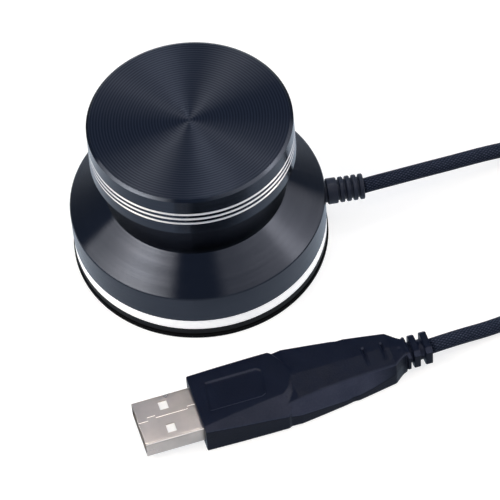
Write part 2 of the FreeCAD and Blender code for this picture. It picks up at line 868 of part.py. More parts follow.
# Encoder base: plastic block with the seat of the push switch in its top
encoder_half_length = dim.encoder_length / 2
encoder_half_width = dim.encoder_width / 2
encoder_base = new_body("encoder_base")
base_sketch = new_sketch(encoder_base, "block_outline", "XY_Plane", encoder_board_top)
add_loop(base_sketch, rectangle(
    -encoder_half_length + dim.encoder_sheet, -encoder_half_width,
    encoder_half_length - dim.encoder_sheet, encoder_half_width,
))
pad(encoder_base, "block", base_sketch, dim.encoder_base_height)
seat_sketch = new_sketch(encoder_base, "dome_seat_circle", "XY_Plane",
                         encoder_board_top + dim.dome_seat_lift)
add_circle(seat_sketch, 0, 0, dim.dome_seat_radius)
pocket(encoder_base, "dome_seat", seat_sketch, dim.encoder_base_height, forward=True)


# Encoder case: pressed metal cover with a lug bent down at each end
encoder_case = new_body("encoder_case")
case_sketch = new_sketch(encoder_case, "case_outline", "XY_Plane", encoder_base_top)
add_loop(case_sketch, rectangle(-encoder_half_length, -encoder_half_width,
                                encoder_half_length, encoder_half_width))
pad(encoder_case, "case_block", case_sketch, dim.encoder_case_height)
for side, sign in (("front", -1), ("rear", 1)):
    lug_sketch = new_sketch(encoder_case, f"{side}_lug_outline", "XY_Plane", encoder_board_top)
    inner = encoder_half_length - dim.encoder_sheet
    add_loop(lug_sketch, rectangle(inner * sign, -dim.lug_width / 2,
                                   encoder_half_length * sign, dim.lug_width / 2))
    pad(encoder_case, f"{side}_lug", lug_sketch, dim.encoder_base_height + dim.encoder_sheet)
cavity_sketch = new_sketch(encoder_case, "cavity_circle", "XY_Plane", encoder_base_top)
add_circle(cavity_sketch, 0, 0, rotor_radius + dim.encoder_cavity_gap)
pocket(encoder_case, "cavity", cavity_sketch,
       dim.encoder_case_height - dim.encoder_top_thickness, forward=True)
case_hole = new_sketch(encoder_case, "case_hole_circle", "XY_Plane", encoder_base_top)
add_circle(case_hole, 0, 0, dim.shaft_radius + dim.running_gap)
pocket(encoder_case, "case_hole", case_hole, dim.encoder_case_height, forward=True)


# Encoder bushing: threaded sleeve that stands through the deck
encoder_bushing = new_body("encoder_bushing")
bushing_top = encoder_top + dim.bushing_height
revolve(encoder_bushing, "sleeve", [
    (dim.shaft_radius + dim.running_gap, encoder_top),
    (bushing_radius, encoder_top),
    (bushing_radius, bushing_top - dim.bushing_gap),
    (bushing_radius - dim.bushing_gap, bushing_top),
    (dim.shaft_radius + dim.running_gap, bushing_top),
])


# Washer and nut on the bushing
bushing_washer = new_body("bushing_washer")
revolve(bushing_washer, "washer_ring", rectangle(
    bushing_radius + dim.bushing_gap, deck_top,
    dim.washer_radius, deck_top + dim.washer_thickness,
))
bushing_nut = new_body("bushing_nut")
nut_sketch = new_sketch(bushing_nut, "hexagon", "XY_Plane", deck_top + dim.washer_thickness)
nut_corner = dim.nut_flats / 2 / math.cos(math.pi / NUT_SIDES)
nut_turns = [2 * math.pi * step / NUT_SIDES for step in range(NUT_SIDES)]
add_loop(nut_sketch, [
    (nut_corner * math.cos(turn), nut_corner * math.sin(turn)) for turn in nut_turns
])
pad(bushing_nut, "nut_block", nut_sketch, dim.nut_thickness)
nut_bore = new_sketch(bushing_nut, "nut_bore_circle", "XY_Plane", deck_top + dim.washer_thickness)
add_circle(nut_bore, 0, 0, bushing_radius + dim.thread_gap)
pocket(bushing_nut, "nut_bore", nut_bore, dim.nut_thickness, forward=True)


# Encoder rotor: contact wheel with a ring of detent hollows
encoder_rotor = new_body("encoder_rotor")
rotor_bottom = encoder_base_top + dim.rotor_lift
revolve(encoder_rotor, "wheel", [
    (dim.shaft_radius + dim.running_gap, rotor_bottom),
    (rotor_radius, rotor_bottom),
    (rotor_radius, rotor_bottom + dim.rotor_thickness),
    (rotor_hub_radius, rotor_bottom + dim.rotor_thickness),
    (rotor_hub_radius, rotor_bottom + dim.rotor_hub_height),
    (dim.shaft_radius + dim.running_gap, rotor_bottom + dim.rotor_hub_height),
])
detent_sketch = new_sketch(encoder_rotor, "detent_circle", "XY_Plane", rotor_bottom)
add_circle(detent_sketch, rotor_radius, 0, dim.detent_radius)
detent = pocket(encoder_rotor, "detent", detent_sketch, dim.rotor_thickness, forward=True)
polar(encoder_rotor, "detents", detent, DETENT_COUNT)


# Push switch: plunger on the end of the shaft and the snap dome under it
switch_plunger = new_body("switch_plunger")
plunger_sketch = new_sketch(switch_plunger, "plunger_circle", "XY_Plane",
                            shaft_bottom - dim.plunger_height)
add_circle(plunger_sketch, 0, 0, dim.plunger_radius)
pad(switch_plunger, "plunger", plunger_sketch, dim.plunger_height)
switch_dome = new_body("switch_dome")
dome_bottom = encoder_board_top + dim.dome_seat_lift
bend_radius = dim.dome_radius * DOME_BEND_SHARES[0]
bend_height = dome_bottom + dim.dome_rise * DOME_BEND_SHARES[1]
revolve(switch_dome, "dome_sheet", [
    (0, dome_bottom + dim.dome_rise),
    (bend_radius, bend_height),
    (dim.dome_radius, dome_bottom),
    (dim.dome_radius, dome_bottom + dim.dome_thickness),
    (bend_radius, bend_height + dim.dome_thickness),
    (0, dome_bottom + dim.dome_rise + dim.dome_thickness),
])


# Encoder pins: three at one side and two at the other, down through the small board
pin_spots = [(-1, column) for column in (-1, 0, 1)] + [(1, column) for column in (-1, 1)]
pins = []
for number, (side, column) in enumerate(pin_spots):
    pins.append(box(f"encoder_pin_{number}", dim.pin_width, dim.pin_thickness, dim.pin_length, (
        dim.pin_pitch * column - dim.pin_width / 2,
        dim.pin_row * side - dim.pin_thickness / 2,
        encoder_board_top - dim.pin_length,
    )))
encoder_pins = group("encoder_pins", pins)


# Encoder board: small board that the encoder is soldered to
encoder_board = new_body("encoder_board")
half_length = dim.encoder_board_length / 2
half_width = dim.encoder_board_width / 2
corner = dim.encoder_board_corner
small_board_sketch = new_sketch(encoder_board, "small_board_outline", "XY_Plane",
                                encoder_board_bottom)
add_loop(small_board_sketch, [
    (-half_length + corner, -half_width),
    (half_length - corner, -half_width),
    (half_length, -half_width + corner),
    (half_length, half_width - corner),
    (half_length - corner, half_width),
    (-half_length + corner, half_width),
    (-half_length, half_width - corner),
    (-half_length, -half_width + corner),
])
for side, column in pin_spots:
    half_hole = dim.pin_width / 2 + dim.pin_clearance
    half_slot = dim.pin_thickness / 2 + dim.pin_clearance
    middle_along = dim.pin_pitch * column
    middle_up = dim.pin_row * side
    add_loop(small_board_sketch, rectangle(
        middle_along - half_hole, middle_up - half_slot,
        middle_along + half_hole, middle_up + half_slot,
    ))
pad(encoder_board, "small_board", small_board_sketch, dim.board_thickness)


# Board link: pin strip between the two boards
link_length = dim.link_pitch * LINK_PIN_COUNT
link_parts = [box("link_block", dim.link_width, link_length, dim.link_height, (
    dim.link_place - dim.link_width / 2, -link_length / 2, main_board_top,
))]
for number in range(LINK_PIN_COUNT):
    row = dim.link_pitch * (number + 0.5) - link_length / 2
    link_parts.append(box(f"link_pin_{number}", dim.link_pin, dim.link_pin, link_gap, (
        dim.link_place - dim.link_pin / 2, row - dim.link_pin / 2, main_board_top,
    )))
board_link_header = fuse("board_link_header", link_parts)


# Main board: round board on the posts, notched where the lead comes in
main_board = new_body("main_board")
disc_sketch = new_sketch(main_board, "board_circle", "XY_Plane", main_board_bottom)
add_circle(disc_sketch, 0, 0, main_board_radius)
pad(main_board, "board_disc", disc_sketch, dim.board_thickness)
lead_notch = new_sketch(main_board, "lead_notch_outline", "XY_Plane", main_board_bottom)
add_loop(lead_notch, rectangle(
    main_board_radius - dim.board_notch_depth, -dim.board_notch_width / 2,
    main_board_radius + dim.overrun, dim.board_notch_width / 2,
))
pocket(main_board, "lead_notch", lead_notch, dim.board_thickness, forward=True)
board_hole_sketch = new_sketch(main_board, "board_hole_circle", "XY_Plane", main_board_bottom)
add_circle(board_hole_sketch, 0, screw_circle, dim.screw_radius + dim.screw_clearance)
board_hole = pocket(main_board, "board_hole", board_hole_sketch, dim.board_thickness, forward=True)
polar(main_board, "board_holes", board_hole, SCREW_COUNT)


# Ring lamps: eight, on the underside of the main board, each with a round window
lamps = []
led_circle = main_board_radius - dim.led_inset
for number in range(LED_COUNT):
    angle = (number + 0.5) * 360.0 / LED_COUNT
    turn = about_z(angle)
    lamp_bottom = main_board_bottom - dim.led_height
    middle = FreeCAD.Vector(*[
        float(value) for value in polar_place(led_circle, angle, lamp_bottom)
    ])
    corner_step = FreeCAD.Vector(-float(dim.led_width) / 2, -float(dim.led_length) / 2, 0)
    block = box(f"lamp_block_{number}", dim.led_width, dim.led_length, dim.led_height,
                tuple(middle + turn.multVec(corner_step)), turn)
    window = cylinder(f"lamp_window_{number}", dim.led_lens_radius, dim.led_lens_depth,
                      tuple(middle))
    lamps.append(cut(f"ring_lamp_{number}", block, window))
ring_leds = group("ring_leds", lamps)


# Control chip: square package with bent leads on its four sides
chip_bottom = main_board_top + dim.chip_standoff
chip_parts = [box("chip_block", dim.chip_side, dim.chip_side, dim.chip_height, (
    -dim.chip_side / 2, dim.chip_place - dim.chip_side / 2, chip_bottom,
))]
half_side = float(dim.chip_side) / 2
lead_outline = [
    (half_side, float(dim.lead_height)),
    (half_side + float(dim.lead_reach - dim.lead_foot), float(dim.lead_height)),
    (half_side + float(dim.lead_reach - dim.lead_foot), 0),
    (half_side + float(dim.lead_reach), 0),
    (half_side + float(dim.lead_reach), float(dim.lead_thickness)),
    (half_side + float(dim.lead_reach - dim.lead_foot + dim.lead_thickness),
     float(dim.lead_thickness)),
    (half_side + float(dim.lead_reach - dim.lead_foot + dim.lead_thickness),
     float(dim.lead_height + dim.lead_thickness)),
    (half_side, float(dim.lead_height + dim.lead_thickness)),
]
for side in range(CHIP_SIDES):
    for number in range(LEADS_PER_SIDE):
        across = float(dim.lead_pitch) * (number - (LEADS_PER_SIDE - 1) / 2)
        across = across - float(dim.lead_width) / 2
        corners = [FreeCAD.Vector(along, across, up) for along, up in lead_outline]
        face = Part.Face(Part.makePolygon(corners + corners[:1]))
        feature = doc.addObject("Part::Feature", f"chip_lead_{side}_{number}")
        feature.Shape = face.extrude(FreeCAD.Vector(0, float(dim.lead_width), 0))
        put(feature, (0, dim.chip_place, main_board_top), about_z(side * 360.0 / CHIP_SIDES))
        chip_parts.append(feature)
control_chip = fuse("control_chip", chip_parts)


# Crystal can: flat-sided metal can with round ends, on a thin flange
def slot_block(name, length, width, height, middle, bottom):
    straight = length - width
    core = box(f"{name}_core", straight, width, height, (
        -straight / 2, middle - width / 2, bottom,
    ))
    ends = [
        cylinder(f"{name}_end_{number}", width / 2, height, (straight * sign / 2, middle, bottom))
        for number, sign in enumerate((-1, 1))
    ]
    return [core] + ends


crystal_parts = slot_block("crystal_flange", dim.crystal_length + dim.crystal_flange,
                           dim.crystal_width + dim.crystal_flange, dim.crystal_flange,
                           dim.crystal_place, main_board_top)
crystal_parts += slot_block("crystal_body", dim.crystal_length, dim.crystal_width,
                            dim.crystal_height, dim.crystal_place, main_board_top)
crystal_can = fuse("crystal_can", crystal_parts)


# Capacitors: two round cans, each on a square foot
cans = []
for number, sign in enumerate((-1, 1)):
    middle = dim.capacitor_spacing * sign / 2 + dim.capacitor_spacing / 2
    foot = box(f"capacitor_foot_{number}", dim.capacitor_radius * 2, dim.capacitor_radius * 2,
               dim.capacitor_base, (
                   -dim.capacitor_place - dim.capacitor_radius,
                   middle - dim.capacitor_radius,
                   main_board_top,
               ))
    can = cylinder(f"capacitor_can_{number}", dim.capacitor_radius, dim.capacitor_height,
                   (-dim.capacitor_place, middle, main_board_top))
    cans.append(fuse(f"capacitor_{number}", [foot, can]))
board_capacitors = group("board_capacitors", cans)


# Cable header: shrouded socket on the board, open towards the gland
header_far = dim.header_place + dim.header_length
header_block = box("header_block", dim.header_length, dim.header_width, dim.header_height, (
    dim.header_place, -dim.header_width / 2, main_board_top,
))
socket_width = dim.header_width - dim.header_wall * 2
socket_height = dim.header_height - dim.header_wall * 2
header_socket = box("header_socket", dim.header_length, socket_width, socket_height, (
    dim.header_place + dim.header_wall, -socket_width / 2, main_board_top + dim.header_wall,
))
cable_header = cut("cable_header", header_block, header_socket)


# Cable plug: block on the four wires, pushed into the header
plug_back = header_far + dim.connector_proud
plug_length = plug_back - dim.header_place - dim.header_wall - dim.connector_gap
cable_plug = box("cable_plug", plug_length, socket_width - dim.connector_gap * 2,
                 socket_height - dim.connector_gap * 2, (
                     plug_back - plug_length,
                     -socket_width / 2 + dim.connector_gap,
                     main_board_top + dim.header_wall + dim.connector_gap,
                 ))


# Paths of tubes: straight runs joined by arcs

def rounded_path(points, name):
    """Edges along the points, each corner an arc as large as its two runs allow."""
    spots = [FreeCAD.Vector(*point) for point in points]
    edges = []
    radii = []
    start = spots[0]
    for before, here, after in zip(spots, spots[1:], spots[2:]):
        inward = (here - before).normalize()
        outward = (after - here).normalize()
        turn = inward.getAngle(outward)
        reach = ARC_SHARE * min((here - before).Length, (after - here).Length)
        radii.append(reach / math.tan(turn / 2))
        first = here - inward * reach
        last = here + outward * reach
        bow = radii[-1] * (1 / math.cos(turn / 2) - 1)
        middle = here + (outward - inward).normalize() * bow
        edges.append(Part.LineSegment(start, first).toShape())
        edges.append(Part.Arc(first, middle, last).toShape())
        start = last
    edges.append(Part.LineSegment(start, spots[-1]).toShape())
    print(name, "arc radii in mm:", [round(radius, 1) for radius in radii])
    return edges


def tube(name, edges, radius):
    """A round tube along the edges, its volume compared with section times length."""
    first = edges[0]
    start = first.Vertexes[0].Point
    heading = first.tangentAt(first.FirstParameter)
    ring = Part.Wire(Part.Circle(start, heading, radius).toShape())
    path = Part.Wire(edges)
    solid = path.makePipeShell([ring], True, False)
    expected = math.pi * radius ** 2 * path.Length
    print(name, "length", round(path.Length, 1), "volume share", round(solid.Volume / expected, 4))
    return solid


def shape_feature(name, shape):
    feature = doc.addObject("Part::Feature", name)
    feature.Shape = shape
    feature.Placement = FreeCAD.Placement()
    return feature


# Cable wires: four thin wires from the end of the jacket to the cable plug
wires = []
wire_height = float(main_board_top + dim.header_height / 2)
for number in range(WIRE_COUNT):
    place = number - (WIRE_COUNT - 1) / 2
    far_y = float(dim.wire_pitch) * place
    near_y = float(dim.wire_bundle) * (1 if place > 0 else -1)
    near_z = float(dim.gland_height) + float(dim.wire_bundle) * (1 if abs(place) > 1 else -1)
    start_x = float(dim.jacket_end)
    end_x = float(plug_back)
    lead_in = (start_x - end_x) * WIRE_END_SHARE
    route = [
        (start_x, near_y, near_z),
        (start_x - lead_in, near_y, near_z),
        (end_x + lead_in, far_y, wire_height),
        (end_x, far_y, wire_height),
    ]
    wires.append(tube(f"wire {number}", rounded_path(route, f"wire {number}"),
                      float(dim.wire_radius)))
cable_wires = shape_feature("cable_wires", Part.Compound(wires))


# Gland: moulded round the jacket, with a flange inside the wall and ribs outside
flange_start = wall_inner - dim.gland_flange_inset
flange_end = flange_start + dim.gland_flange_thickness
gland_start = dim.base_radius + dim.gland_collar_gap
collar_end = gland_start + dim.gland_collar_length
gland_outline = [
    (flange_start, dim.cord_radius),
    (flange_start, dim.gland_flange_radius),
    (flange_end, dim.gland_flange_radius),
    (flange_end, dim.gland_neck_radius),
    (gland_start, dim.gland_neck_radius),
    (gland_start, dim.gland_collar_radius - dim.gland_rib_edge),
    (gland_start + dim.gland_rib_edge, dim.gland_collar_radius),
    (collar_end - dim.gland_rib_edge, dim.gland_collar_radius),
    (collar_end, dim.gland_collar_radius - dim.gland_rib_edge),
]
for number in range(GLAND_RIB_COUNT):
    groove_start = collar_end + dim.gland_rib_pitch * number
    rib_start = groove_start + dim.gland_rib_gap
    rib_end = groove_start + dim.gland_rib_pitch
    gland_outline += [
        (groove_start, dim.gland_core_radius),
        (rib_start, dim.gland_core_radius),
        (rib_start, dim.gland_rib_radius - dim.gland_rib_edge),
        (rib_start + dim.gland_rib_edge, dim.gland_rib_radius),
        (rib_end - dim.gland_rib_edge, dim.gland_rib_radius),
        (rib_end, dim.gland_rib_radius - dim.gland_rib_edge),
    ]
gland_tip = collar_end + dim.gland_rib_pitch * GLAND_RIB_COUNT
gland_outline.append((gland_tip, dim.cord_radius))
cable_gland = new_body("cable_gland")
revolve(cable_gland, "moulded_gland", gland_outline, axis="H_Axis")
put(cable_gland, (0, 0, dim.gland_height))


# Cord entry: the jacket from its cut end, through the gland, to the gland's tip
along_x = FreeCAD.Rotation(FreeCAD.Vector(0, 1, 0), 90)
cord_entry = cylinder("cord_entry", dim.cord_radius, gland_tip - dim.jacket_end,
                      (dim.jacket_end, 0, dim.gland_height), along_x)


# Free lead, first stretch: out of the gland, down to the table and over to the coil
cord_radius = float(dim.cord_radius)
cord_from_base = shape_feature("cord_from_base", tube(
    "cord_from_base", rounded_path(CORD_FROM_BASE_POINTS, "cord_from_base"), cord_radius))


# Coil: one unbroken tube that spirals in and out in four layers

def biarc(start, start_heading, end, end_heading):
    """Two arcs that leave one point and reach the other along the given headings."""
    across = end - start
    both = start_heading + end_heading
    spread = 2 * (1 - start_heading.dot(end_heading))
    along = across.dot(both)
    reach = (math.sqrt(along ** 2 + spread * across.dot(across)) - along) / spread
    first_corner = start + start_heading * reach
    last_corner = end - end_heading * reach
    middle = (first_corner + last_corner) / 2
    return [
        corner_arc(start, first_corner, middle),
        corner_arc(middle, last_corner, end),
    ]


def corner_arc(start, corner, end):
    """The arc that touches both legs of a corner of equal legs."""
    leg = (corner - start).Length
    chord_middle = (start + end) / 2
    rise = (corner - chord_middle).Length
    half_chord = (end - start).Length / 2
    radius = leg * half_chord / rise
    bow = radius - math.sqrt(radius ** 2 - half_chord ** 2)
    middle = chord_middle + (corner - chord_middle).normalize() * bow
    return Part.Arc(start, middle, end).toShape()


def coil_stations():
    """Radius and height at the end of each half turn, the first at the far side."""
    half_step = float(dim.coil_turn_pitch) / 2
    outer = float(dim.coil_outer_radius)
    stations = []
    for layer in range(COIL_LAYERS):
        height = float(dim.coil_lift + dim.coil_layer_pitch * layer)
        steps = range(COIL_HALF_TURNS + 1)
        radii = [outer - half_step * step for step in steps]
        draw = -float(dim.coil_draw)
        if layer % 2:
            radii.reverse()
            draw = -draw
        if layer > 0:
            radii[0] -= draw
        if layer < COIL_LAYERS - 1:
            radii[-1] += draw
        stations += [(radius, height) for radius in radii]
    return stations


def coil_edges():
    middle_x = float(dim.coil_middle_x)
    middle_y = CORD_FROM_BASE_POINTS[-1][1] - float(dim.coil_outer_radius)
    straight = float(dim.cord_radius) * 2
    spots = []
    headings = []
    for number, (radius, height) in enumerate(coil_stations()):
        sign = 1 if number % 2 == 0 else -1
        spots.append(FreeCAD.Vector(middle_x, middle_y + sign * radius, height))
        headings.append(FreeCAD.Vector(sign, 0, 0))
    edges = [Part.LineSegment(spots[0] - headings[0] * straight, spots[0]).toShape()]
    for number in range(len(spots) - 1):
        edges += biarc(spots[number], headings[number], spots[number + 1], headings[number + 1])
    edges.append(Part.LineSegment(spots[-1], spots[-1] + headings[-1] * straight).toShape())
    return edges


def least_gap(edges, diameter):
    """The least distance between two turns of one tube, measured on points along it."""
    points = []
    for edge in edges:
        points += edge.discretize(Number=SAMPLES_PER_ARC)[:-1]
    skip = SAMPLES_PER_ARC
    least = float("inf")
    for number, point in enumerate(points):
        for other in points[number + skip:]:
            if abs(other.z - point.z) < 2 * diameter:
                least = min(least, point.distanceToPoint(other))
    return least - diameter


coil_path = coil_edges()
print("coil gap to itself in mm:", round(least_gap(coil_path, cord_radius * 2), 2))
cord_coil = shape_feature("cord_coil", tube("cord_coil", coil_path, cord_radius))


# Free lead, last stretch: off the top of the coil, down to the table and into the plug's relief
cord_to_plug = shape_feature("cord_to_plug", tube(
    "cord_to_plug", rounded_path(CORD_TO_PLUG_POINTS, "cord_to_plug"), cord_radius))


# Coil tie: flat strap closed round the turns at the side away from the knob
tie_radii = [
    (first[0] + second[0]) / 2
    for first, second in zip(coil_stations()[::2], coil_stations()[1::2])
]
tie_near = dim.coil_middle_x + (min(tie_radii) - cord_radius) - dim.tie_gap - dim.tie_thickness * 2
tie_far = dim.coil_middle_x + (max(tie_radii) + cord_radius) + dim.tie_gap
tie_top = (dim.coil_lift + dim.coil_layer_pitch * (COIL_LAYERS - 1)
           + dim.cord_radius + dim.tie_gap)
coil_tie = new_body("coil_tie")
tie_middle = CORD_FROM_BASE_POINTS[-1][1] - dim.coil_outer_radius
tie_sketch = new_sketch(coil_tie, "tie_outline", "XZ_Plane")
add_loop(tie_sketch, rectangle(tie_near - dim.tie_thickness, 0,
                               tie_far + dim.tie_thickness, tie_top + dim.tie_thickness))
add_loop(tie_sketch, rectangle(tie_near, dim.tie_thickness, tie_far, tie_top))
pad(coil_tie, "tie_band", tie_sketch, dim.tie_width)
put(coil_tie, (0, tie_middle + dim.tie_width / 2, 0))


# Plug: all its pieces are placed together, the shell's mouth at the plug's own origin
plug_turn = about_z(PLUG_ANGLE)
plug_placement = FreeCAD.Placement(FreeCAD.Vector(*PLUG_PLACE, 0), plug_turn)


def on_plug(name, length, width, height, place):
    """A box in the plug's own frame."""
    spot = FreeCAD.Vector(*[float(value) for value in place])
    thing = box(name, length, width, height, tuple(plug_placement.multVec(spot)), plug_turn)
    return thing


# Plug shell: folded sheet, with two windows in each broad side and a seam in its top
shell_top = dim.shell_lift + dim.shell_height
usb_shell = new_body("usb_shell")
shell_sketch = new_sketch(usb_shell, "shell_outline", "YZ_Plane")
half_shell = dim.shell_width / 2
add_loop(shell_sketch, rectangle(-half_shell, dim.shell_lift, half_shell, shell_top))
pad(usb_shell, "shell_block", shell_sketch, dim.shell_length)
doc.recompute()
long_edges = [
    f"Edge{number}" for number, item in enumerate(usb_shell.Shape.Edges, start=1)
    if abs(item.Length - float(dim.shell_length)) < TINY
]
dress(usb_shell, "shell_rounding", "Fillet", long_edges, dim.shell_corner)
bore_sketch = new_sketch(usb_shell, "shell_bore_outline", "YZ_Plane")
add_loop(bore_sketch, rectangle(
    -half_shell + dim.shell_sheet, dim.shell_lift + dim.shell_sheet,
    half_shell - dim.shell_sheet, shell_top - dim.shell_sheet,
))
pocket(usb_shell, "shell_bore", bore_sketch, dim.shell_length, forward=True)
window_sketch = new_sketch(usb_shell, "window_outline", "XY_Plane", shell_top)
for sign in (-1, 1):
    middle = dim.window_spacing * sign / 2
    add_loop(window_sketch, rectangle(
        dim.window_place - dim.window_length / 2, middle - dim.window_width / 2,
        dim.window_place + dim.window_length / 2, middle + dim.window_width / 2,
    ))
pocket(usb_shell, "windows", window_sketch, dim.shell_height)
seam_sketch = new_sketch(usb_shell, "seam_outline", "XY_Plane", shell_top)
near_side = [
    (dim.shell_length * share - dim.overrun * (index == 0),
     dim.shell_width * rise - dim.seam_width / 2)
    for index, (share, rise) in enumerate(SEAM_SHARES)
]
far_side = [
    (along, up + dim.seam_width) for along, up in reversed(near_side)
]
add_loop(seam_sketch, near_side + far_side)
pocket(usb_shell, "seam", seam_sketch, dim.shell_sheet)
usb_shell.Placement = plug_placement


# Tongue: white plastic carrier, against the windowed side, thick where it fills the shell
tongue_top = shell_top - dim.shell_sheet
inner_width = dim.shell_width - dim.shell_sheet * 2
inner_height = dim.shell_height - dim.shell_sheet * 2
tongue_end = dim.tongue_setback + dim.tongue_length
tongue_blade = on_plug("tongue_blade", dim.tongue_length, dim.tongue_width, dim.tongue_thickness, (
    dim.tongue_setback, -dim.tongue_width / 2, tongue_top - dim.tongue_thickness,
))
tongue_root = on_plug("tongue_root", dim.shell_length - tongue_end, inner_width, inner_height, (
    tongue_end, -inner_width / 2, tongue_top - inner_height,
))
usb_tongue = fuse("usb_tongue", [tongue_blade, tongue_root])


# Contacts: two long and two short strips on the tongue
contacts = []
contact_top = tongue_top - dim.tongue_thickness
for number, (place, length) in enumerate((
    (-dim.contact_outer_place, dim.contact_long),
    (-dim.contact_inner_place, dim.contact_short),
    (dim.contact_inner_place, dim.contact_short),
    (dim.contact_outer_place, dim.contact_long),
)):
    contacts.append(on_plug(f"contact_{number}", length, dim.contact_width,
                            dim.contact_thickness, (
                                tongue_end - length - dim.tongue_setback,
                                place - dim.contact_width / 2,
                                contact_top - dim.contact_thickness,
                            )))
usb_contacts = group("usb_contacts", contacts)


# Plug grip: two lofted blocks, the front one wide and flat with a prow that lies on the ridged rear
grip_half = dim.grip_width / 2


def grip_station(share):
    return dim.shell_shown + dim.grip_length * share


def grip_section(body, name, shares):
    """One ten-cornered section, its place and sizes as shares of the grip's own."""
    station, wide, near_edge, ridge, upper, lower, crest = shares
    sketch = new_sketch(body, name, "YZ_Plane", grip_station(station))
    half = grip_half * wide
    flat_edge = grip_half * near_edge
    ridge_place = grip_half * ridge
    facet_top = dim.grip_thickness * upper
    facet_foot = dim.grip_thickness * lower
    top = dim.grip_thickness * crest
    add_loop(sketch, [
        (-half + dim.grip_edge, 0),
        (-ridge_place, 0),
        (flat_edge, top - facet_top),
        (half, top - facet_foot),
        (half, top - dim.grip_edge),
        (half - dim.grip_edge, top),
        (ridge_place, top),
        (-flat_edge, facet_top),
        (-half, facet_foot),
        (-half, dim.grip_edge),
    ])
    return sketch


def grip_loft(body, name, table):
    sections = [
        grip_section(body, f"{name}_section_{number}", shares)
        for number, shares in enumerate(table)
    ]
    loft = body.newObject("PartDesign::AdditiveLoft", name)
    loft.Profile = sections[0]
    loft.Sections = sections[1:]
    loft.Ruled = True
    doc.recompute()


plug_overmould = new_body("plug_overmould")
grip_loft(plug_overmould, "rear_grip", REAR_GRIP_SHARES)
grip_loft(plug_overmould, "front_grip", FRONT_GRIP_SHARES)
panel_sketch = new_sketch(plug_overmould, "panel_outline", "XY_Plane",
                          dim.grip_thickness - dim.panel_depth)
add_loop(panel_sketch, [
    (grip_station(along), grip_half * across) for along, across in PANEL_SHARES
])
pocket(plug_overmould, "panel", panel_sketch, dim.grip_thickness, forward=True)
notch_sketch = new_sketch(plug_overmould, "grip_notch_outline", "XY_Plane",
                          dim.grip_thickness - dim.notch_depth)
for along, near_end, far_end in NOTCH_SHARES:
    notch_start = grip_station(along)
    add_loop(notch_sketch, rectangle(notch_start, grip_half * near_end,
                                     notch_start + dim.notch_width, grip_half * far_end))
pocket(plug_overmould, "grip_notches", notch_sketch, dim.grip_thickness, forward=True)


# Relief of the plug: round core with three eight-cornered ribs round the lead
relief_start = dim.shell_shown + dim.grip_length
core_sketch = new_sketch(plug_overmould, "relief_core_circle", "YZ_Plane",
                         relief_start - dim.overrun)
add_circle(core_sketch, 0, dim.relief_axis_height, dim.relief_core_radius)
pad(plug_overmould, "relief_core", core_sketch, dim.relief_length + dim.overrun)
rib_half = dim.relief_width / 2
rib_rise = dim.relief_thickness / 2
rib_low = dim.relief_axis_height - rib_rise
rib_high = dim.relief_axis_height + rib_rise
for number, (start_share, length_share) in enumerate(RELIEF_RIB_SHARES):
    rib_sketch = new_sketch(plug_overmould, f"relief_rib_{number}_outline", "YZ_Plane",
                            relief_start + dim.relief_length * start_share)
    add_loop(rib_sketch, [
        (-rib_half + dim.relief_corner, rib_low),
        (rib_half - dim.relief_corner, rib_low),
        (rib_half, rib_low + dim.relief_corner),
        (rib_half, rib_high - dim.relief_corner),
        (rib_half - dim.relief_corner, rib_high),
        (-rib_half + dim.relief_corner, rib_high),
        (-rib_half, rib_high - dim.relief_corner),
        (-rib_half, rib_low + dim.relief_corner),
    ])
    pad(plug_overmould, f"relief_rib_{number}", rib_sketch, dim.relief_length * length_share)
shell_seat = new_sketch(plug_overmould, "shell_seat_outline", "YZ_Plane",
                        dim.shell_shown - dim.overrun)
add_loop(shell_seat, rectangle(-half_shell, dim.shell_lift, half_shell, shell_top))
pocket(plug_overmould, "shell_seat", shell_seat,
       dim.shell_length - dim.shell_shown + dim.overrun, forward=True)
plug_overmould.Placement = plug_placement


# Every piece is checked before any file is written

NODES = [
    foot_pad, base_plate, light_ring, base_housing, cover_screws,
    knob_cap, knob_hub, shaft_clip, encoder_shaft, encoder_base, encoder_case,
    encoder_bushing, bushing_washer, bushing_nut, encoder_rotor, switch_plunger, switch_dome,
    encoder_pins, encoder_board, board_link_header, main_board, ring_leds, control_chip,
    crystal_can, board_capacitors, cable_header, cable_plug, cable_wires, cable_gland,
    cord_entry, cord_from_base, cord_coil, cord_to_plug, coil_tie,
    usb_shell, usb_tongue, usb_contacts, plug_overmould,
]


def check_model():
    doc.recompute()
    for item in doc.Objects:
        if "Invalid" in item.State or "Error" in item.State:
            raise RuntimeError(f"{item.Label} failed: {item.State}")
    for node in NODES:
        if node.Shape.isNull() or not node.Shape.isValid() or not node.Shape.Solids:
            raise RuntimeError(f"{node.Label} has no sound shape")


def write_parts():
    os.makedirs("parts", exist_ok=True)
    for node in NODES:
        node.Shape.exportStep(os.path.join("parts", f"{node.Label}.step"))
    print(len(NODES), "nodes written")


check_model()
write_parts()
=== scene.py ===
import math

import bpy
from mathutils import Matrix, Vector


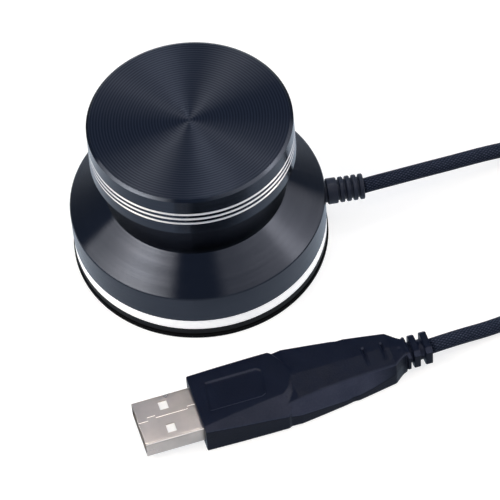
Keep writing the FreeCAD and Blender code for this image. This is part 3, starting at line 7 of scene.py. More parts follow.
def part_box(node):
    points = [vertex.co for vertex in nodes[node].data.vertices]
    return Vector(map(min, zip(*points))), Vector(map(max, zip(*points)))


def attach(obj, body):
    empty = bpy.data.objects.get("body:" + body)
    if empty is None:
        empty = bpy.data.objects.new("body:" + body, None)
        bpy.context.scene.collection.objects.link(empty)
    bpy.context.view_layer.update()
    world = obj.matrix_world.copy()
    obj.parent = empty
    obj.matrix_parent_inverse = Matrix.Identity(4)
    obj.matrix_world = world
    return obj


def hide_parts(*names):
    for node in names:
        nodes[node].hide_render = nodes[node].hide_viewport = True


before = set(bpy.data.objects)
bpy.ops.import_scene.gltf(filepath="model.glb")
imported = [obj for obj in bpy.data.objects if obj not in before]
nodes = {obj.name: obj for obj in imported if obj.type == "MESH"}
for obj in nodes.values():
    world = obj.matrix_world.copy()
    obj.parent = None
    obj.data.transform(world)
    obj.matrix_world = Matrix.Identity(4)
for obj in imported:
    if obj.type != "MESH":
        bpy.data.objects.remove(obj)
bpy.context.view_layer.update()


# Camera
# The photograph is a long-lens studio shot from in front, high above the table.
# The picture leans a little to the right, so the camera is rolled.
camera_data = bpy.data.cameras.new("photo_camera")
camera_data.lens = 240.3
camera_data.sensor_width = 36.0
camera_data.clip_start = 0.05
camera_data.clip_end = 20.0
camera = bpy.data.objects.new("photo_camera", camera_data)
camera_right = Vector((0.98721, -0.15115, -0.0515))
camera_up = Vector((0.15124, 0.78223, 0.6043))
camera_turn = Matrix((camera_right, camera_up, camera_right.cross(camera_up))).transposed()
camera.matrix_world = Matrix.Translation((-0.0286, -0.46763, 0.6068)) @ camera_turn.to_4x4()
bpy.context.scene.collection.objects.link(camera)
bpy.context.scene.camera = camera
bpy.context.scene.view_settings.view_transform = "Standard"


# Foot pad
# Soft black rubber disc that keeps the knob from sliding, moulded with two shallow rings
# and bonded to the underside of the plate.
def feed(tree, socket, value):
    if isinstance(value, bpy.types.NodeSocket):
        tree.links.new(value, socket)
    else:
        socket.default_value = value


def add_node(tree, kind, settings=None, **inputs):
    node = tree.nodes.new("ShaderNode" + kind)
    for name, value in (settings or {}).items():
        setattr(node, name, value)
    for name, value in inputs.items():
        feed(tree, node.inputs[name.replace("_", " ")], value)
    return node


def reckon(tree, operation, *values):
    """A Math node's result."""
    node = tree.nodes.new("ShaderNodeMath")
    node.operation = operation
    for socket, value in zip(node.inputs, values):
        feed(tree, socket, value)
    return node.outputs[0]


def between(tree, share, first, second):
    """The colour that lies this share of the way from the first to the second."""
    node = tree.nodes.new("ShaderNodeMix")
    node.data_type = "RGBA"
    feed(tree, node.inputs[0], share)
    feed(tree, node.inputs[6], first)
    feed(tree, node.inputs[7], second)
    return node.outputs[2]


def spread_over(tree, value, low, high, low_result=0.0, high_result=1.0):
    """The value moved from one range to another, held at its ends."""
    node = add_node(tree, "MapRange", Value=value, From_Min=low, From_Max=high,
                    To_Min=low_result, To_Max=high_result)
    return node.outputs["Result"]


def start_group(name, inputs, outputs):
    """A shader node group with named sockets, and its two end nodes."""
    kinds = {"value": "NodeSocketFloat", "colour": "NodeSocketColor", "vector": "NodeSocketVector"}
    tree = bpy.data.node_groups.new(name, "ShaderNodeTree")
    for label, kind in inputs:
        tree.interface.new_socket(name=label, in_out="INPUT", socket_type=kinds[kind])
    for label, kind in outputs:
        tree.interface.new_socket(name=label, in_out="OUTPUT", socket_type=kinds[kind])
    return tree, tree.nodes.new("NodeGroupInput"), tree.nodes.new("NodeGroupOutput")


def place_group(tree, group, **inputs):
    node = tree.nodes.new("ShaderNodeGroup")
    node.node_tree = group
    for name, value in inputs.items():
        feed(tree, node.inputs[name.replace("_", " ")], value)
    return node


def start_material(name, **sockets):
    """A material with its surface shader, whose plain sockets are set by name."""
    material = bpy.data.materials.new(name)
    material.use_nodes = True
    tree = material.node_tree
    surface = tree.nodes["Principled BSDF"]
    for label, value in sockets.items():
        surface.inputs[label.replace("_", " ")].default_value = value
    return material, tree, surface


def raise_bumps(tree, surface, height, distance, strength=1.0):
    bump = add_node(tree, "Bump", Strength=strength, Distance=distance, Height=height)
    tree.links.new(bump.outputs["Normal"], surface.inputs["Normal"])
    return bump


def dress(tree, surface, finish, relief):
    """The finish's colour, gloss and height, put on the surface."""
    feed(tree, surface.inputs["Base Color"], finish.outputs["Color"])
    feed(tree, surface.inputs["Roughness"], finish.outputs["Roughness"])
    raise_bumps(tree, surface, finish.outputs["Height"], relief)


def paint(material, *names):
    for name in names:
        nodes[name].material_slots[0].material = material


moulded_grain, grain_in, grain_out = start_group(
    "moulded_grain",
    [("Light Tone", "colour"), ("Deep Tone", "colour"), ("Grain Scale", "value"),
     ("Smooth End", "value"), ("Rough End", "value")],
    [("Color", "colour"), ("Roughness", "value"), ("Height", "value")])
grain_place = moulded_grain.nodes.new("ShaderNodeTexCoord").outputs["Object"]
fine_grain = add_node(moulded_grain, "TexNoise", Vector=grain_place, Detail=3.0,
                      Scale=grain_in.outputs["Grain Scale"]).outputs[0]
broad_scale = reckon(moulded_grain, "MULTIPLY", grain_in.outputs["Grain Scale"], 0.06)
broad_cloud = add_node(moulded_grain, "TexNoise", Vector=grain_place, Detail=2.0,
                       Scale=broad_scale).outputs[0]
tone_share = reckon(moulded_grain, "MULTIPLY_ADD", fine_grain, 0.4,
                    reckon(moulded_grain, "MULTIPLY", broad_cloud, 0.6))
tone_share = spread_over(moulded_grain, tone_share, 0.3, 0.7)
feed(moulded_grain, grain_out.inputs["Color"],
     between(moulded_grain, tone_share, grain_in.outputs["Deep Tone"],
             grain_in.outputs["Light Tone"]))
rough_node = add_node(moulded_grain, "MapRange", Value=broad_cloud, From_Min=0.3, From_Max=0.7,
                      To_Min=grain_in.outputs["Smooth End"], To_Max=grain_in.outputs["Rough End"])
feed(moulded_grain, grain_out.inputs["Roughness"], rough_node.outputs["Result"])
feed(moulded_grain, grain_out.inputs["Height"], fine_grain)


def moulded_material(name, light, deep, grain_size, smooth, rough, relief, **sockets):
    """Moulded plastic or rubber: fine grain in its height, clouds in its tone and gloss."""
    material, tree, surface = start_material(name, **sockets)
    grain = place_group(tree, moulded_grain, Light_Tone=(*light, 1), Deep_Tone=(*deep, 1),
                        Grain_Scale=1 / grain_size, Smooth_End=smooth, Rough_End=rough)
    dress(tree, surface, grain, relief)
    return material


foot_rubber = moulded_material("foot_rubber", (0.006, 0.006, 0.0065), (0.003, 0.003, 0.0035),
                               0.0005, 0.6, 0.8, 0.00006, Specular_IOR_Level=0.04)


MERGE_REACH = 0.000002
RIM_START = 0.028
FOOT_RADIUS = 0.02925


def merged_copy(name, node):
    """A bare copy of a CAD node with its triangles merged, selected and in edit mode."""
    bpy.ops.object.select_all(action="DESELECT")
    piece = bpy.data.objects.new(name, nodes[node].data.copy())
    piece.data.materials.clear()
    bpy.context.scene.collection.objects.link(piece)
    bpy.context.view_layer.objects.active = piece
    piece.select_set(True)
    bpy.ops.mesh.customdata_custom_splitnormals_clear()
    bpy.ops.object.mode_set(mode="EDIT")
    bpy.ops.mesh.select_all(action="SELECT")
    bpy.ops.mesh.remove_doubles(threshold=MERGE_REACH)
    return piece


def spread_rim(name, node, outer):
    """A copy of a turned node whose outer rim stands out to this radius."""
    piece = merged_copy(name, node)
    bpy.ops.mesh.select_mode(type="VERT")
    bpy.ops.mesh.select_all(action="DESELECT")
    bpy.ops.object.mode_set(mode="OBJECT")
    reach = max(vertex.co.xy.length for vertex in piece.data.vertices)
    for vertex in piece.data.vertices:
        vertex.select = vertex.co.xy.length > RIM_START
    bpy.ops.object.mode_set(mode="EDIT")
    bpy.ops.transform.resize(value=(outer / reach, outer / reach, 1.0),
                             center_override=(0.0, 0.0, 0.0))
    bpy.ops.object.mode_set(mode="OBJECT")
    bpy.ops.object.shade_smooth_by_angle(angle=math.radians(30))
    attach(piece, "base")
    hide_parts(node)
    return piece


rubber_foot = spread_rim("rubber_foot", "foot_pad", FOOT_RADIUS)
rubber_foot.data.materials.append(foot_rubber)


# Base plate
# Black moulded plate that closes the base. It carries the board on three posts,
# and three screws hold it up against the housing.
plate_plastic = moulded_material("plate_plastic", (0.012, 0.012, 0.014), (0.007, 0.007, 0.008),
                                 0.0004, 0.4, 0.55, 0.00004, Specular_IOR_Level=0.08)
paint(plate_plastic, "base_plate")


# Light ring
# Milky white diffuser clamped between plate and housing, lit from inside by the lamps on the
# board, through its flange. Its glow is partly their light and partly painted light that lifts it
# to white.
ring_plastic = moulded_material("ring_plastic", (0.86, 0.86, 0.87), (0.82, 0.82, 0.83),
                                0.0012, 0.3, 0.42, 0.00001, Subsurface_Weight=0.2,
                                Subsurface_Radius=(0.004, 0.004, 0.004),
                                Subsurface_Scale=0.5,
                                Emission_Color=(1.0, 1.0, 1.0, 1), Emission_Strength=0.52)
RING_RADIUS = 0.02896
glow_ring = spread_rim("glow_ring", "light_ring", RING_RADIUS)
glow_ring.data.materials.append(ring_plastic)


# Main board
# Round glass-fibre board under green lacquer, notched where the lead comes in,
# and held on the plate's posts by the three cover screws.
def lacquered_board(name, weave_scale):
    """Green lacquer over woven glass: the weave shows faintly in tone and height."""
    material, tree, surface = start_material(name, Coat_Weight=0.3, Coat_Roughness=0.15)
    place = add_node(tree, "TexCoord").outputs["Object"]
    split = add_node(tree, "SeparateXYZ", Vector=place)
    warp = reckon(tree, "SINE", reckon(tree, "MULTIPLY", split.outputs["X"], weave_scale))
    weft = reckon(tree, "SINE", reckon(tree, "MULTIPLY", split.outputs["Y"], weave_scale))
    weave = reckon(tree, "MULTIPLY_ADD", reckon(tree, "MULTIPLY", warp, weft), 0.5, 0.5)
    cloud = add_node(tree, "TexNoise", Vector=place, Scale=180.0, Detail=3.0).outputs[0]
    share = reckon(tree, "MULTIPLY_ADD", weave, 0.35, reckon(tree, "MULTIPLY", cloud, 0.65))
    feed(tree, surface.inputs["Base Color"],
         between(tree, share, (0.008, 0.07, 0.03, 1), (0.02, 0.13, 0.055, 1)))
    feed(tree, surface.inputs["Roughness"], spread_over(tree, cloud, 0.3, 0.7, 0.28, 0.42))
    raise_bumps(tree, surface, weave, 0.00002)
    return material


board_lacquer = lacquered_board("board_lacquer", 9000.0)
paint(board_lacquer, "main_board")


# Ring lamps
# Eight small white lamps on the underside of the main board, each with a round window
# filled with yellow phosphor.
def object_axes(tree):
    """The place on the object, split along its three axes."""
    place = add_node(tree, "TexCoord").outputs["Object"]
    return add_node(tree, "SeparateXYZ", Vector=place).outputs


lamp_body, lamp_tree, lamp_surface = start_material("lamp_body", Subsurface_Scale=0.3)
lamp_grain = place_group(lamp_tree, moulded_grain, Light_Tone=(0.86, 0.85, 0.8, 1),
                         Deep_Tone=(0.78, 0.76, 0.7, 1), Grain_Scale=2500.0,
                         Smooth_End=0.35, Rough_End=0.5)
lamp_height = object_axes(lamp_tree)["Z"]
lamp_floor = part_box("ring_leds")[0][2]
in_window = spread_over(lamp_tree, lamp_height, lamp_floor + 0.00015, lamp_floor + 0.00025)
in_window = reckon(lamp_tree, "MULTIPLY", in_window, reckon(
    lamp_tree, "LESS_THAN", lamp_height, lamp_floor + 0.0004))
feed(lamp_tree, lamp_surface.inputs["Base Color"],
     between(lamp_tree, in_window, lamp_grain.outputs["Color"], (0.8, 0.62, 0.12, 1)))
feed(lamp_tree, lamp_surface.inputs["Roughness"], lamp_grain.outputs["Roughness"])
raise_bumps(lamp_tree, lamp_surface, lamp_grain.outputs["Height"], 0.00001)
paint(lamp_body, "ring_leds")


# Control chip
# Square black package that reads the encoder and talks to the computer. Its bent leads are
# tinned copper, so they are told from the package by how far out they stand.
chip_material, chip_tree, chip_surface = start_material("chip_package", Specular_IOR_Level=0.4)
chip_low, chip_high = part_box("control_chip")
chip_reach = (chip_high[0] - chip_low[0]) / 2 - 0.001
chip_axes = object_axes(chip_tree)
from_middle_x = reckon(chip_tree, "ABSOLUTE", chip_axes["X"])
chip_middle_y = (chip_low[1] + chip_high[1]) / 2
from_middle_y = reckon(chip_tree, "ABSOLUTE", reckon(
    chip_tree, "SUBTRACT", chip_axes["Y"], chip_middle_y))
furthest = reckon(chip_tree, "MAXIMUM", from_middle_x, from_middle_y)
on_lead = spread_over(chip_tree, furthest, chip_reach, chip_reach + 0.00003)
chip_grain = place_group(chip_tree, moulded_grain, Light_Tone=(0.022, 0.022, 0.024, 1),
                         Deep_Tone=(0.012, 0.012, 0.013, 1), Grain_Scale=5000.0,
                         Smooth_End=0.45, Rough_End=0.6)
feed(chip_tree, chip_surface.inputs["Base Color"],
     between(chip_tree, on_lead, chip_grain.outputs["Color"], (0.62, 0.6, 0.57, 1)))
feed(chip_tree, chip_surface.inputs["Metallic"], on_lead)
feed(chip_tree, chip_surface.inputs["Roughness"], reckon(
    chip_tree, "SUBTRACT", chip_grain.outputs["Roughness"],
    reckon(chip_tree, "MULTIPLY", on_lead, 0.2)))
raise_bumps(chip_tree, chip_surface, chip_grain.outputs["Height"], 0.00002)
paint(chip_material, "control_chip")


# Crystal and capacitors
# Drawn cans: a flat-sided one for the crystal and two round ones for the power line,
# each soldered to the board. The sheet is dull where hands have touched it.
sheet_wear, wear_in, wear_out = start_group(
    "sheet_wear",
    [("Bright Tone", "colour"), ("Dull Tone", "colour"), ("Mottle Scale", "value"),
     ("Smooth End", "value"), ("Rough End", "value")],
    [("Color", "colour"), ("Roughness", "value"), ("Height", "value")])
wear_place = sheet_wear.nodes.new("ShaderNodeTexCoord").outputs["Object"]
mottle = add_node(sheet_wear, "TexNoise", Vector=wear_place, Detail=4.0,
                  Scale=wear_in.outputs["Mottle Scale"]).outputs[0]
speck_scale = reckon(sheet_wear, "MULTIPLY", wear_in.outputs["Mottle Scale"], 12.0)
specks = add_node(sheet_wear, "TexNoise", Vector=wear_place, Detail=2.0,
                  Scale=speck_scale).outputs[0]
dulled = spread_over(sheet_wear, mottle, 0.35, 0.7)
feed(sheet_wear, wear_out.inputs["Color"],
     between(sheet_wear, dulled, wear_in.outputs["Bright Tone"], wear_in.outputs["Dull Tone"]))
wear_rough = add_node(sheet_wear, "MapRange", Value=dulled,
                      To_Min=wear_in.outputs["Smooth End"], To_Max=wear_in.outputs["Rough End"])
feed(sheet_wear, wear_out.inputs["Roughness"], wear_rough.outputs["Result"])
feed(sheet_wear, wear_out.inputs["Height"], specks)


def sheet_metal(name, bright, dull, mottle_size, smooth, rough, relief, **sockets):
    """Plated or bare sheet: patches in tone and gloss, and fine specks in its height."""
    material, tree, surface = start_material(name, Metallic=1.0, **sockets)
    wear = place_group(tree, sheet_wear, Bright_Tone=(*bright, 1), Dull_Tone=(*dull, 1),
                       Mottle_Scale=1 / mottle_size, Smooth_End=smooth, Rough_End=rough)
    dress(tree, surface, wear, relief)
    return material


can_metal = sheet_metal("can_metal", (0.72, 0.72, 0.73), (0.6, 0.6, 0.62), 0.004,
                        0.22, 0.38, 0.000006)
paint(can_metal, "crystal_can", "board_capacitors")


# Board link
# Black pin strip between the small board and the main board. It carries the encoder's
# signals down.
link_plastic = moulded_material("link_plastic", (0.02, 0.02, 0.021), (0.013, 0.013, 0.014),
                                0.0003, 0.4, 0.55, 0.00002)
paint(link_plastic, "board_link_header")


# Encoder board
# Small board of the same lacquered glass fibre. The encoder's pins are soldered to it,
# and the pin strip joins it to the main board.
paint(lacquered_board("small_board_lacquer", 11000.0), "encoder_board")


# Encoder
# Rotary encoder with a push switch: plastic base with the switch's seat, snap dome, contact
# wheel, pressed steel cover and tinned pins, and a turned shaft that runs in a plated sleeve.
switch_plastic = moulded_material("switch_plastic", (0.035, 0.035, 0.037),
                                  (0.02, 0.02, 0.022), 0.0003, 0.4, 0.5, 0.00002)
paint(switch_plastic, "encoder_base", "switch_plunger")
dome_steel = sheet_metal("dome_steel", (0.62, 0.61, 0.58), (0.5, 0.49, 0.47), 0.002,
                         0.18, 0.3, 0.000003)
paint(dome_steel, "switch_dome")
wheel_plastic = moulded_material("wheel_plastic", (0.6, 0.54, 0.42), (0.5, 0.45, 0.35),
                                 0.0004, 0.35, 0.5, 0.00002)
paint(wheel_plastic, "encoder_rotor")
cover_steel = sheet_metal("cover_steel", (0.66, 0.65, 0.62), (0.52, 0.51, 0.49), 0.003,
                          0.25, 0.42, 0.000006)
paint(cover_steel, "encoder_case")
pin_tin = sheet_metal("pin_tin", (0.7, 0.69, 0.67), (0.55, 0.54, 0.53), 0.001,
                      0.3, 0.45, 0.000004)
paint(pin_tin, "encoder_pins")

def axis_distance(tree, axes):
    """How far the place is from the upright axis."""
    return reckon(tree, "SQRT", reckon(
        tree, "MULTIPLY_ADD", axes["X"], axes["X"],
        reckon(tree, "MULTIPLY", axes["Y"], axes["Y"])))


turned_marks, marks_in, marks_out = start_group(
    "turned_marks",
    [("Mark Width", "value"), ("Mark Length", "value")],
    [("Tone", "value"), ("Broad Tone", "value"), ("Height", "value")])
marks_axes = object_axes(turned_marks)
from_axis = axis_distance(turned_marks, marks_axes)
safe_radius = reckon(turned_marks, "MAXIMUM", from_axis, 0.00001)
along_marks = reckon(turned_marks, "DIVIDE", 1.0, marks_in.outputs["Mark Length"])
across_marks = reckon(turned_marks, "DIVIDE", reckon(
    turned_marks, "SUBTRACT", marks_axes["Z"], from_axis), marks_in.outputs["Mark Width"])
round_x, round_y = (
    reckon(turned_marks, "MULTIPLY",
           reckon(turned_marks, "DIVIDE", marks_axes[axis], safe_radius), along_marks)
    for axis in "XY")
for ratio, target in ((1.0, "Tone"), (0.12, "Broad Tone")):
    spot = add_node(turned_marks, "CombineXYZ", X=round_x, Y=round_y,
                    Z=reckon(turned_marks, "MULTIPLY", across_marks, ratio))
    marks = add_node(turned_marks, "TexNoise", Vector=spot.outputs[0], Scale=1.0,
                     Detail=3.0, Roughness=0.6).outputs[0]
    feed(turned_marks, marks_out.inputs[target], spread_over(turned_marks, marks, 0.3, 0.7))
    if target == "Tone":
        feed(turned_marks, marks_out.inputs["Height"], marks)


def turned_metal(name, bright, dull, mark_width, smooth, rough, relief, **sockets):
    """Metal turned about the upright axis: rings of fine marks in tone, gloss and height."""
    material, tree, surface = start_material(name, Metallic=1.0, **sockets)
    marks = place_group(tree, turned_marks, Mark_Width=mark_width, Mark_Length=0.6)
    feed(tree, surface.inputs["Base Color"],
         between(tree, marks.outputs["Tone"], (*dull, 1), (*bright, 1)))
    feed(tree, surface.inputs["Roughness"],
         spread_over(tree, marks.outputs["Broad Tone"], 0.0, 1.0, smooth, rough))
    raise_bumps(tree, surface, marks.outputs["Height"], relief)
    return material


shaft_plating = turned_metal("shaft_plating", (0.7, 0.68, 0.62), (0.55, 0.53, 0.48),
                             0.0001, 0.2, 0.34, 0.000004, Anisotropic=0.5)
paint(shaft_plating, "encoder_shaft", "encoder_bushing")


# Washer and nut
# Plated steel washer and nut. They clamp the encoder's threaded sleeve to the deck
# of the housing.
nut_plating = turned_metal("nut_plating", (0.66, 0.65, 0.62), (0.5, 0.49, 0.47),
                           0.00015, 0.25, 0.4, 0.000006)
paint(nut_plating, "bushing_washer", "bushing_nut")


# Housing
# Aluminium wall, cone and neck, turned in one piece and anodised blue-black. The tool's marks
# run round it, so it shines in streaks that follow the lights round the axis.
def streak_round(tree, surface):
    """The gloss of tool marks that run round the upright axis."""
    heading = add_node(tree, "Tangent", {"direction_type": "RADIAL", "axis": "Z"})
    feed(tree, surface.inputs["Tangent"], heading.outputs[0])


housing_metal, housing_tree, housing_surface = start_material(
    "housing_metal", Metallic=1.0, Anisotropic=1.0, Anisotropic_Rotation=0.25)
housing_marks = place_group(housing_tree, turned_marks, Mark_Width=0.00011, Mark_Length=1.1)
NECK_FOOT = 0.0206
NECK_FADE = 0.0004
housing_tone = between(housing_tree, housing_marks.outputs["Tone"],
                       (0.025, 0.029, 0.039, 1), (0.035, 0.04, 0.053, 1))
# Painted shade: the neck, in the shadow under the knob, is darkened in its colour.
neck_shade = spread_over(housing_tree, object_axes(housing_tree)["Z"],
                      NECK_FOOT, NECK_FOOT + NECK_FADE)
feed(housing_tree, housing_surface.inputs["Base Color"],
     between(housing_tree, neck_shade, housing_tone, (0.01, 0.012, 0.018, 1)))
feed(housing_tree, housing_surface.inputs["Roughness"], spread_over(
    housing_tree, housing_marks.outputs["Broad Tone"], 0.0, 1.0, 0.14, 0.19))
raise_bumps(housing_tree, housing_surface, housing_marks.outputs["Height"], 0.000008)
streak_round(housing_tree, housing_surface)
paint(housing_metal, "base_housing")


# Cover screws
# Three black-zinc steel screws with a cross in the head. They are driven up from below,
# through the plate and the main board into the housing.
screw_zinc = sheet_metal("screw_zinc", (0.3, 0.3, 0.32), (0.2, 0.2, 0.21), 0.001,
                         0.3, 0.45, 0.000004)
paint(screw_zinc, "cover_screws")


# Knob hub and clip
# Ribbed black insert pressed into the cap, with a D-shaped bore on the shaft's flat end.
# A spring leaf between the two flats takes up the play.
hub_plastic = moulded_material("hub_plastic", (0.035, 0.035, 0.037), (0.02, 0.02, 0.022),
                               0.0005, 0.4, 0.55, 0.00003)
paint(hub_plastic, "knob_hub")
clip_steel = sheet_metal("clip_steel", (0.55, 0.55, 0.56), (0.45, 0.44, 0.44), 0.002,
                         0.2, 0.32, 0.000003)
paint(clip_steel, "shaft_clip")


# Knob cap
# Aluminium cap turned from bar and anodised blue-black. The tool left fine rings on its top,
# and three bright rings were cut round its side after it was dyed.
cap_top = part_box("knob_cap")[1][2]
knob_metal, knob_tree, knob_surface = start_material(
    "knob_metal", Metallic=1.0, Anisotropic=1.0, Anisotropic_Rotation=0.25)
knob_marks = place_group(knob_tree, turned_marks, Mark_Width=0.00012, Mark_Length=0.9)
knob_axes = object_axes(knob_tree)
knob_height = knob_axes["Z"]
on_top = spread_over(knob_tree, knob_height, cap_top - 0.0001, cap_top - 0.00005)
knob_radius = axis_distance(knob_tree, knob_axes)
TOOL_FEED = 0.00065
tool_ring = reckon(knob_tree, "SINE", reckon(
    knob_tree, "MULTIPLY", knob_radius, 2 * math.pi / TOOL_FEED))
tool_ring = reckon(knob_tree, "MULTIPLY", tool_ring, on_top)
BRIGHT_RINGS = 3
BRIGHT_RING_DEPTH = 0.0046
BRIGHT_RING_PITCH = 0.0015
BRIGHT_RING_WIDTH = 0.00066
bright_ring = 0.0
for number in range(BRIGHT_RINGS):
    ring_level = cap_top - BRIGHT_RING_DEPTH - BRIGHT_RING_PITCH * number
    off_ring = reckon(knob_tree, "ABSOLUTE", reckon(
        knob_tree, "SUBTRACT", knob_height, ring_level))
    on_ring = spread_over(knob_tree, off_ring, BRIGHT_RING_WIDTH * 0.48,
                          BRIGHT_RING_WIDTH * 0.52, 1.0, 0.0)
    bright_ring = reckon(knob_tree, "MAXIMUM", bright_ring, on_ring)
side_tone = between(knob_tree, knob_marks.outputs["Tone"],
                    (0.024, 0.029, 0.04, 1), (0.034, 0.04, 0.054, 1))
top_tone = between(knob_tree, spread_over(knob_tree, tool_ring, -1.0, 1.0),
                   (0.028, 0.034, 0.049, 1), (0.054, 0.062, 0.084, 1))
dyed_tone = between(knob_tree, on_top, side_tone, top_tone)
feed(knob_tree, knob_surface.inputs["Base Color"],
     between(knob_tree, bright_ring, dyed_tone, (0.9, 0.9, 0.91, 1)))
# The cut is slightly frosted, so the rings look white from every side.
feed(knob_tree, knob_surface.inputs["Metallic"],
     reckon(knob_tree, "MULTIPLY_ADD", bright_ring, -0.7, 1.0))
side_gloss = spread_over(knob_tree, knob_marks.outputs["Broad Tone"], 0.0, 1.0, 0.12, 0.16)
top_gloss = spread_over(knob_tree, knob_marks.outputs["Tone"], 0.0, 1.0, 0.42, 0.5)
gloss = reckon(knob_tree, "MULTIPLY_ADD", reckon(
    knob_tree, "SUBTRACT", top_gloss, side_gloss), on_top, side_gloss)
feed(knob_tree, knob_surface.inputs["Roughness"], gloss)
knob_relief = reckon(knob_tree, "MULTIPLY_ADD", tool_ring, 0.6, knob_marks.outputs["Height"])
raise_bumps(knob_tree, knob_surface, knob_relief, 0.000008)
streak_round(knob_tree, knob_surface)
paint(knob_metal, "knob_cap")


# Lead inside the base
# Four insulated wires run from the end of the jacket to a white plug, which is pushed
# into a shrouded header on the main board.
header_plastic = moulded_material("header_plastic", (0.8, 0.78, 0.7), (0.72, 0.7, 0.62),
                                  0.0004, 0.35, 0.5, 0.00002)
paint(header_plastic, "cable_header", "cable_plug")
wire_cover, wire_tree, wire_surface = start_material("wire_insulation")
wire_place = add_node(wire_tree, "TexCoord").outputs["Object"]
wire_side = add_node(wire_tree, "SeparateXYZ", Vector=wire_place).outputs["Y"]
wire_low, wire_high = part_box("cable_wires")
wire_share = spread_over(wire_tree, wire_side, wire_low[1], wire_high[1])
wire_colours = add_node(wire_tree, "ValToRGB", Fac=wire_share)
wire_ramp = wire_colours.color_ramp
wire_ramp.interpolation = "CONSTANT"
wire_ramp.elements[0].color = (0.02, 0.02, 0.02, 1)
wire_ramp.elements[1].position = 0.78
wire_ramp.elements[1].color = (0.5, 0.03, 0.025, 1)
for stop, colour in ((0.26, (0.03, 0.25, 0.06, 1)), (0.52, (0.75, 0.75, 0.72, 1))):
    wire_ramp.elements.new(stop).color = colour
wire_grain = add_node(wire_tree, "TexNoise", Vector=wire_place, Scale=900.0).outputs[0]
feed(wire_tree, wire_surface.inputs["Base Color"], wire_colours.outputs["Color"])
feed(wire_tree, wire_surface.inputs["Roughness"],
     spread_over(wire_tree, wire_grain, 0.3, 0.7, 0.3, 0.45))
raise_bumps(wire_tree, wire_surface, wire_grain, 0.00002)
paint(wire_cover, "cable_wires")


# Gland
# Black rubber strain relief moulded round the jacket. Its flange sits inside the wall,
# and its ribs let the lead bend where it leaves the base.
gland_rubber = moulded_material("gland_rubber", (0.022, 0.027, 0.046), (0.013, 0.017, 0.031),
                                0.0003, 0.42, 0.55, 0.00005, Specular_IOR_Level=0.3)
paint(gland_rubber, "cable_gland")


# Plug shell
# Sheet steel folded round the plug's front, with two windows in each broad side for the
# socket's springs. The seam is on top. Nickel plated.
shell_plating = sheet_metal("shell_plating", (0.56, 0.485, 0.43), (0.45, 0.395, 0.35), 0.006,
                            0.26, 0.4, 0.000005)
PLUG_PLACE = (-0.02117, -0.05371, 0.0)
PLUG_TURN = math.radians(8.6)
SEAM_REACH = 0.0012
SEAM_LOWEST = 0.005


def plug_way(tree, vector, place=(0.0, 0.0, 0.0)):
    """The vector's shares along the plug, across it and upward, from this place."""
    moved = add_node(tree, "VectorMath", {"operation": "SUBTRACT"})
    feed(tree, moved.inputs[0], vector)
    moved.inputs[1].default_value = place
    turned = add_node(tree, "VectorRotate", {"rotation_type": "Z_AXIS"},
                      Vector=moved.outputs[0], Angle=-PLUG_TURN)
    return add_node(tree, "SeparateXYZ", Vector=turned.outputs[0]).outputs


def note_facing(piece):
    """Each corner's normal, kept as an attribute of the piece for its material to read."""
    facing = piece.data.attributes.new("facing", "FLOAT_VECTOR", "CORNER")
    facing.data.foreach_set("vector", [
        share for corner in piece.data.corner_normals for share in corner.vector])


def plug_facing(tree):
    noted = add_node(tree, "Attribute", {"attribute_name": "facing"})
    return plug_way(tree, noted.outputs["Vector"])


# Painted highlights: the cut edges at the seam and the folds along the shell glow white, for the
# light they catch.
shell_tree = shell_plating.node_tree
shell_surface = shell_tree.nodes["Principled BSDF"]
shell_spot = add_node(shell_tree, "TexCoord").outputs["Object"]
shell_place = plug_way(shell_tree, shell_spot, PLUG_PLACE)
shell_facing = plug_facing(shell_tree)
seam_highlight = reckon(
    shell_tree, "MULTIPLY",
    reckon(shell_tree, "LESS_THAN",
           reckon(shell_tree, "ABSOLUTE", shell_place["Y"]), SEAM_REACH),
    reckon(shell_tree, "MULTIPLY",
           reckon(shell_tree, "LESS_THAN",
                  reckon(shell_tree, "ABSOLUTE", shell_facing["Z"]), 0.5),
           reckon(shell_tree, "GREATER_THAN", shell_place["Z"], SEAM_LOWEST)))
fold_highlight = reckon(
    shell_tree, "MULTIPLY",
    spread_over(shell_tree, shell_facing["Z"], 0.6, 0.7),
    spread_over(shell_tree, shell_facing["Z"], 0.85, 0.95, 1.0, 0.0))
painted_edge_highlight = reckon(shell_tree, "MAXIMUM", seam_highlight,
                     reckon(shell_tree, "MULTIPLY", fold_highlight, 0.6))
feed(shell_tree, shell_surface.inputs["Emission Color"],
     between(shell_tree, painted_edge_highlight, (0, 0, 0, 1), (1, 0.98, 0.96, 1)))
shell_surface.inputs["Emission Strength"].default_value = 0.9
plug_shell = merged_copy("plug_shell", "usb_shell")
bpy.ops.mesh.dissolve_limited(angle_limit=math.radians(0.5))
bpy.ops.object.mode_set(mode="OBJECT")
bpy.ops.object.shade_smooth_by_angle(angle=math.radians(35))
note_facing(plug_shell)
plug_shell.data.materials.append(shell_plating)
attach(plug_shell, "base")
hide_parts("usb_shell")


# Plug tongue and contacts
# White plastic tongue that fills the upper half of the shell, with four gold-flashed
# contacts pressed into its underside.
tongue_plastic = moulded_material("tongue_plastic", (0.86, 0.86, 0.85), (0.8, 0.8, 0.79),
                                  0.0005, 0.35, 0.5, 0.00001)
paint(tongue_plastic, "usb_tongue")
contact_gold = sheet_metal("contact_gold", (0.95, 0.72, 0.33), (0.85, 0.6, 0.24), 0.001,
                           0.15, 0.28, 0.000002)
paint(contact_gold, "usb_contacts")


